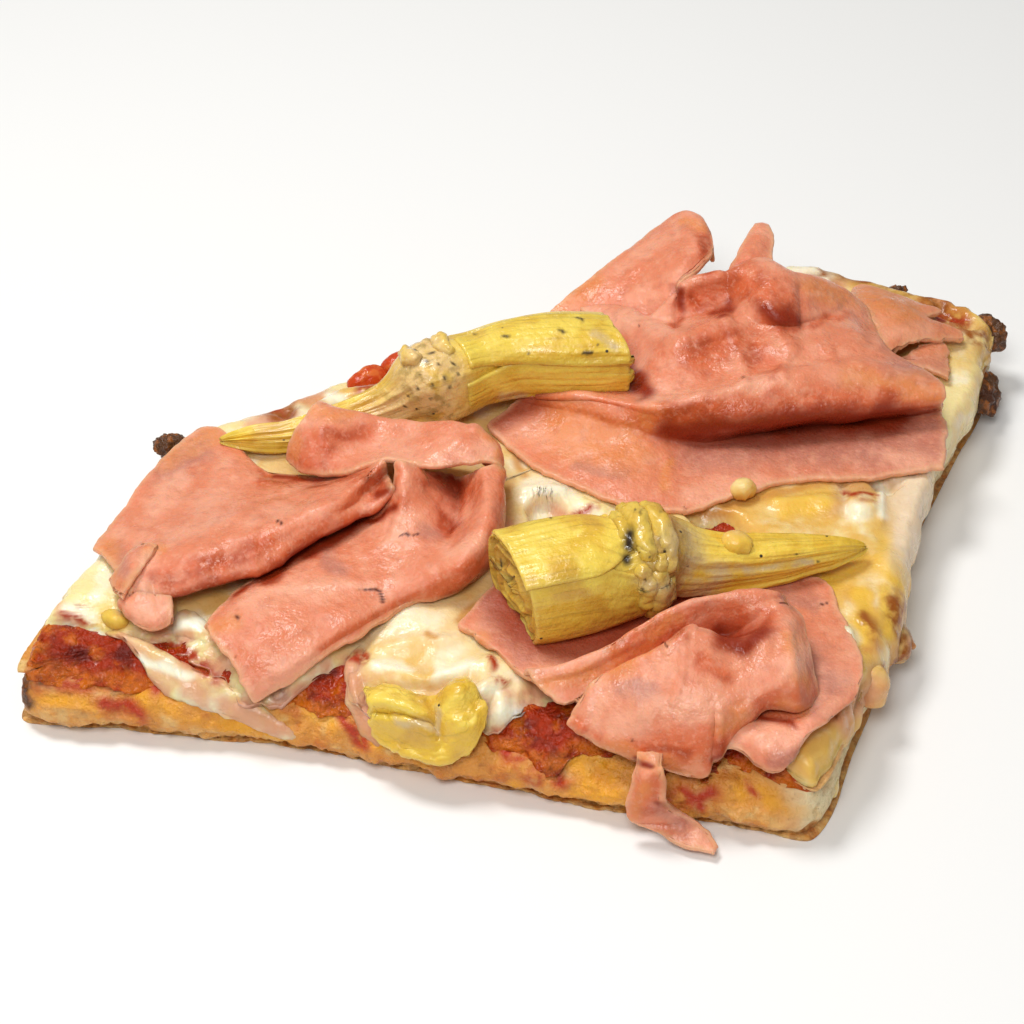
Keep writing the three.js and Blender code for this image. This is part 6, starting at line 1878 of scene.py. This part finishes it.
def artichoke(name, spine, leaves, knobs, node, material, heart_at, coarse, seed):
    """An artichoke half: rings along its spine, with a stepped cut end, fibres, a more or less
    coarse swelling where the heart is, and leaves that wrap its block."""
    angle = np.linspace(0, 2 * np.pi, BLOCK_SIDES, endpoint=False)[None]
    t = np.linspace(0, 1, BLOCK_RINGS)[:, None]
    share = slanted(t, angle)
    rings = np.where(t[..., None] < 0.5, tube_at(spine, share, angle, ends=False),
                     tube_at(spine, share, angle))
    leafy = ramp(heart_at + 0.02, heart_at - 0.06, t)
    stem = ramp(heart_at + 0.03, heart_at + 0.16, t)
    middle = bell(t, heart_at + 0.01, 0.055)
    section = np.stack(np.broadcast_arrays(40 * t, 5 * np.cos(angle), 5 * np.sin(angle)), axis=-1)
    fibres = lumps(section * np.array([0.12, 1, 1]), 0.35, seed)
    ridges = lumps(section * np.array([0.08, 1, 1]), 1.1, seed + 1)
    crumpled = 1 - 2 * np.abs(rough(rings, 5, seed + 2, 3, 0.6))
    relief = (leafy * (0.12 * fibres + 0.3 * ridges) + stem * (0.75 * ridges + 0.2 * fibres)
              + middle * coarse * (0.7 * rough(rings, 3, seed + 2, 3, 0.65) + 0.8 * crumpled)
              + 0.3 * lumps(rings, 6, seed + 3))
    rings = rings + ring_normals(rings) * relief[..., None]
    foot = cut_end(rings[0], unit((rings[0] - rings[3]).mean(axis=0)), seed)[::-1]
    tip = cut_end(rings[-1], unit((rings[-1] - rings[-4]).mean(axis=0)), seed)
    rings = np.concatenate([foot, rings, tip])
    length = np.linalg.norm(np.diff(np.asarray(spine)[:, :3], axis=0), axis=-1).sum()
    along = np.concatenate([np.zeros(CUT_RINGS), t.ravel(), np.ones(CUT_RINGS)])[:, None] + 0 * angle
    heart = np.clip(bell(along, heart_at + 0.04, 0.075) * 1.1, 0, 1)
    heart[:CUT_RINGS] = 0.3
    half = Parts()
    # top paints light on the faces turned up, here and on the leaves and knobs below.
    half.stack(rings, heart=heart, top=ramp(-0.1, 0.8, ring_normals(rings)[..., 2]), rim=0.0,
               uv=np.stack([along * length / UV_UNIT, np.abs(angle + 0 * along - np.pi) * 0.1], axis=-1))
    for number, leaf in enumerate(leaves):
        middle = leaf_sheet(spine, leaf, seed + 10 * number)
        sheet, rim, run, both = sheet_points(middle, 1.2, 0.6)
        half.sheet(sheet, middle.shape, heart=0.4 * ramp(heart_at - 0.05, heart_at + 0.02, leaf[3]),
                   top=both(np.abs(sheet_normals(middle)[..., 2])), rim=ramp(1.6, 0.2, rim), uv=run)
    for number, (radii, line) in enumerate(knobs):
        shares, degrees = np.array(line).T
        path = tube_at(spine, shares, np.radians(degrees), ends=False)
        knob = tube_rings(path, radii, *KNOB_STEPS, flat=1.0)
        knob = knob + ring_normals(knob) * (0.6 * rough(knob, 3, seed + number, 3, 0.6))[..., None]
        half.stack(knob, heart=0.25, top=0.8)
    points, faces, masks = half.joined()
    masks.update(tints(points, ARTICHOKE_TINTS, "speck", "grey", "glow", "heart_patch"))
    put_piece(name, points, faces, masks, material, "artichoke", node)


# The squashed leaf on the front rim: a crumpled sheet with two lobes and a crease between them.
SQUASHED_LEAF = ENLARGED_RIM, [
    [(110, 660, 0.3), (160, 715, 0.3), (230, 745, 0.3), (310, 765, 0.3), (375, 775, 0.3), (430, 755, 0.3),
     (480, 720, 0.3), (525, 650, 0.3)],
    [(102, 625, 2.6), (165, 665, 3), (235, 690, 3), (310, 715, 3), (375, 735, 2.2), (425, 695, 3),
     (475, 660, 2.6), (522, 600, 1.6)],
    [(108, 600, 3.8), (170, 612, 5), (240, 625, 5.4), (310, 650, 5), (365, 690, 1.8), (410, 620, 5),
     (465, 600, 4), (515, 560, 2.4)],
    [(92, 588, 2), (160, 585, 1.8), (230, 600, 1.6), (300, 626, 1.6), (352, 640, 1), (400, 570, 5.6),
     (455, 545, 4.6), (505, 530, 2.4)],
    [(82, 550, 4.4), (150, 545, 6), (220, 555, 6.4), (290, 590, 5), (340, 590, 1.6), (395, 520, 6.2),
     (450, 495, 5.2), (495, 500, 2.6)],
    [(72, 515, 2), (140, 505, 3), (215, 515, 3.2), (290, 545, 3), (340, 545, 1), (390, 490, 4),
     (445, 470, 3), (480, 480, 1)],
    [(80, 500, 0), (140, 492, 0), (215, 500, 0), (290, 525, 0), (340, 530, 0), (395, 478, 0.5),
     (445, 462, 0.3), (478, 470, 0)],
]
TOMATO_LOBES = [
    [(-48, 29, 19.8, 1.4, 1.4), (-45, 31.5, 20.4, 2.6, 2.6), (-42, 34, 20.5, 2.8, 2.7),
     (-39.5, 36, 19.8, 1.4, 1.3)],
    [(-41, 35.5, 20, 1.6, 1.6), (-38.5, 37.5, 21.4, 2.6, 3), (-35.5, 40, 21.4, 2.8, 3),
     (-33, 42, 20, 1.4, 1.4)],
]


def lobes(name, shapes, material, node, slot, seed, crinkle):
    """Soft lobes: short fat tubes, crinkled along their normals."""
    parts = Parts()
    for number, shape in enumerate(shapes):
        shape = np.array(shape)
        rings = tube_rings(shape[:, :3], shape[:, 3], *LOBE_STEPS, heights=shape[:, 4])
        swell = crinkle * (0.8 * lumps(rings, 3.4, seed + number)
                           + 0.4 * lumps(rings, 1.5, seed + 5 + number))
        parts.stack(rings + ring_normals(rings) * swell[..., None])
    put_piece(name, *parts.joined(), material, slot, node)


def tomato_material(colours):
    """Skinned tomato baked soft: wet red flesh."""
    material, tree, surface, spot = start_material("Baked tomato")
    colour = painted(tree, colours.skin,
                     (times(tree, mottle(tree, spot, 3, 0.48, 0.66), 0.6), colours.flesh))
    wire(tree, surface, {
        "Base Color": colour, "Roughness": 0.2, "IOR": 1.4,
        "Normal": bumps(tree, (mottle(tree, spot, 1.5, 0.3, 0.7), 0.3, 0.4)),
        **lit_inside(0.3, (1.0, 0.3, 0.12), 0.003)})
    return material


class PIZZA_OT_artichokes(bpy.types.Operator):
    """Lay the two artichoke halves, the squashed leaf and the tomato piece on the slice"""
    bl_idname = "pizza.lay_artichokes"
    bl_label = "Artichokes"
    bl_options = {"REGISTER", "UNDO"}

    def execute(self, context):
        colours = context.scene.pizza_artichoke
        olive = artichoke_material(colours, "Artichoke in oil, olive heart", colours.smoked)
        material = artichoke_material(colours, "Artichoke in oil", colours.heart)
        artichoke("artichoke_half_front", ARTICHOKE_FRONT, LEAVES_FRONT, KNOBS_FRONT, "artichoke_front",
                  olive, heart_at=0.40, coarse=0.9, seed=3)
        artichoke("artichoke_half_back", ARTICHOKE_BACK, LEAVES_BACK, KNOBS_BACK, "artichoke_back",
                  material, heart_at=0.46, coarse=0.3, seed=5)
        self.leaf(material)
        lobes("tomato_lumps", TOMATO_LOBES, tomato_material(context.scene.pizza_tomato), "tomato_piece",
              "tomato", 70, 0.4)
        return {"FINISHED"}

    def leaf(self, material):
        """The crumpled leaf, with small creases across it."""
        middle = torn_rim(lofted(seen(SQUASHED_LEAF), *SQUASHED_STEPS), 1.2, 60)
        crease = (0.5 * (1 - 2 * np.abs(lumps(middle, 6, 61)))
                  + 0.35 * (1 - 2 * np.abs(lumps(middle, 3, 62))))
        middle[..., 2] += 1 + crease + 0.15 * lumps(middle, 1.2, 63)
        sheet, rim, run, both = sheet_points(middle, 1.6)
        leaf = Parts()
        # top paints light on the faces turned up.
        leaf.sheet(sheet, middle.shape, top=both(ramp(0.3, 0.9, np.abs(sheet_normals(middle)[..., 2]))),
                   rim=ramp(2, 0.2, rim), uv=run, **tints(sheet, ARTICHOKE_TINTS, "glow", "grey"))
        put_piece("artichoke_squashed_leaf", *leaf.joined(), material, "artichoke", "artichoke_leaf")


# ---------------------------------------------------------------- stage
PAPER = "f4f3f0"
FLOOR_HALF = 2.0
SKY_STRENGTH = 0.26
# The lamps: name, place, width and power.
LAMPS = [("key_softbox", (-0.26, 0.10, 0.78), 0.26, 3.9), ("front_softbox", (0.02, -0.50, 0.72), 0.34, 3.4)]


class PIZZA_OT_stage(bpy.types.Operator):
    """Set the pale floor, the soft studio lights and the camera"""
    bl_idname = "pizza.set_stage"
    bl_label = "Stage"
    bl_options = {"REGISTER", "UNDO"}

    def execute(self, context):
        scene = context.scene
        scene.view_settings.view_transform = "Standard"
        mesh = bpy.data.meshes.new("studio_floor")
        corners = [(x * FLOOR_HALF, y * FLOOR_HALF, 0) for x, y in ((-1, -1), (1, -1), (1, 1), (-1, 1))]
        mesh.from_pydata(corners, [], [(0, 1, 2, 3)])
        floor = bpy.data.objects.new("studio_floor", mesh)
        scene.collection.objects.link(floor)
        material, tree, surface, _ = start_material("Matt white paper")
        wire(tree, surface, {"Base Color": linear(PAPER), "Roughness": 0.9})
        mesh.materials.append(material)
        world = bpy.data.worlds.new("Soft studio")
        world.use_nodes = True
        wire(world.node_tree, world.node_tree.nodes["Background"],
             {"Color": (1, 1, 1, 1), "Strength": SKY_STRENGTH})
        scene.world = world
        for lamp in LAMPS:
            self.lamp(scene, *lamp)
        self.camera(scene)
        return {"FINISHED"}

    def lamp(self, scene, name, place, size, power):
        data = bpy.data.lights.new(name, "AREA")
        data.shape = "DISK"
        data.size = size
        data.energy = power
        self.aim(scene, bpy.data.objects.new(name, data), place)

    def camera(self, scene):
        data = bpy.data.cameras.new("photo_camera")
        data.lens = CAMERA_LENS
        data.sensor_width = CAMERA_SENSOR
        data.shift_y = FRAMING_SHIFT
        data.clip_start = 0.01
        camera = bpy.data.objects.new("photo_camera", data)
        self.aim(scene, camera, CAMERA_DISTANCE * camera_axes()[2])
        scene.camera = camera

    def aim(self, scene, thing, place):
        """Puts a lamp or camera in its place and turns it to the origin."""
        thing.location = place
        thing.rotation_euler = (-thing.location).to_track_quat("-Z", "Y").to_euler()
        scene.collection.objects.link(thing)


# ---------------------------------------------------------------- the add-on
GROUPS = {"pizza_dough": PizzaDough, "pizza_sauce": PizzaSauce, "pizza_cheese": PizzaCheese,
          "pizza_ham": PizzaHam, "pizza_artichoke": PizzaArtichoke, "pizza_tomato": PizzaTomato}
OPERATORS = [PIZZA_OT_stage, PIZZA_OT_dough, PIZZA_OT_sauce, PIZZA_OT_cheese, PIZZA_OT_ham,
             PIZZA_OT_artichokes]


class PIZZA_PT_slice(bpy.types.Panel):
    """Lists the pieces of the slice and what can be changed on them"""
    bl_idname = "PIZZA_PT_slice"
    bl_label = "Pizza slice"
    bl_space_type = "VIEW_3D"
    bl_region_type = "UI"
    bl_category = "Pizza"

    def draw(self, context):
        for operator in OPERATORS:
            self.layout.operator(operator.bl_idname, text=operator.bl_label)
        for key, group in GROUPS.items():
            box = self.layout.box()
            box.label(text=group.__doc__)
            for name in group.__annotations__:
                box.prop(getattr(context.scene, key), name)


def register():
    for cls in [*GROUPS.values(), *OPERATORS, PIZZA_PT_slice]:
        bpy.utils.register_class(cls)
    for key, group in GROUPS.items():
        setattr(bpy.types.Scene, key, bpy.props.PointerProperty(type=group))


def unregister():
    for key in GROUPS:
        delattr(bpy.types.Scene, key)
    for cls in reversed([*GROUPS.values(), *OPERATORS, PIZZA_PT_slice]):
        bpy.utils.unregister_class(cls)


def main():
    register()
    bpy.ops.pizza.set_stage()
    bpy.ops.pizza.bake_dough()
    bpy.ops.pizza.spread_sauce()
    bpy.ops.pizza.melt_cheese()
    bpy.ops.pizza.lay_ham()
    bpy.ops.pizza.lay_artichokes()


if __name__ == "__main__":
    main()
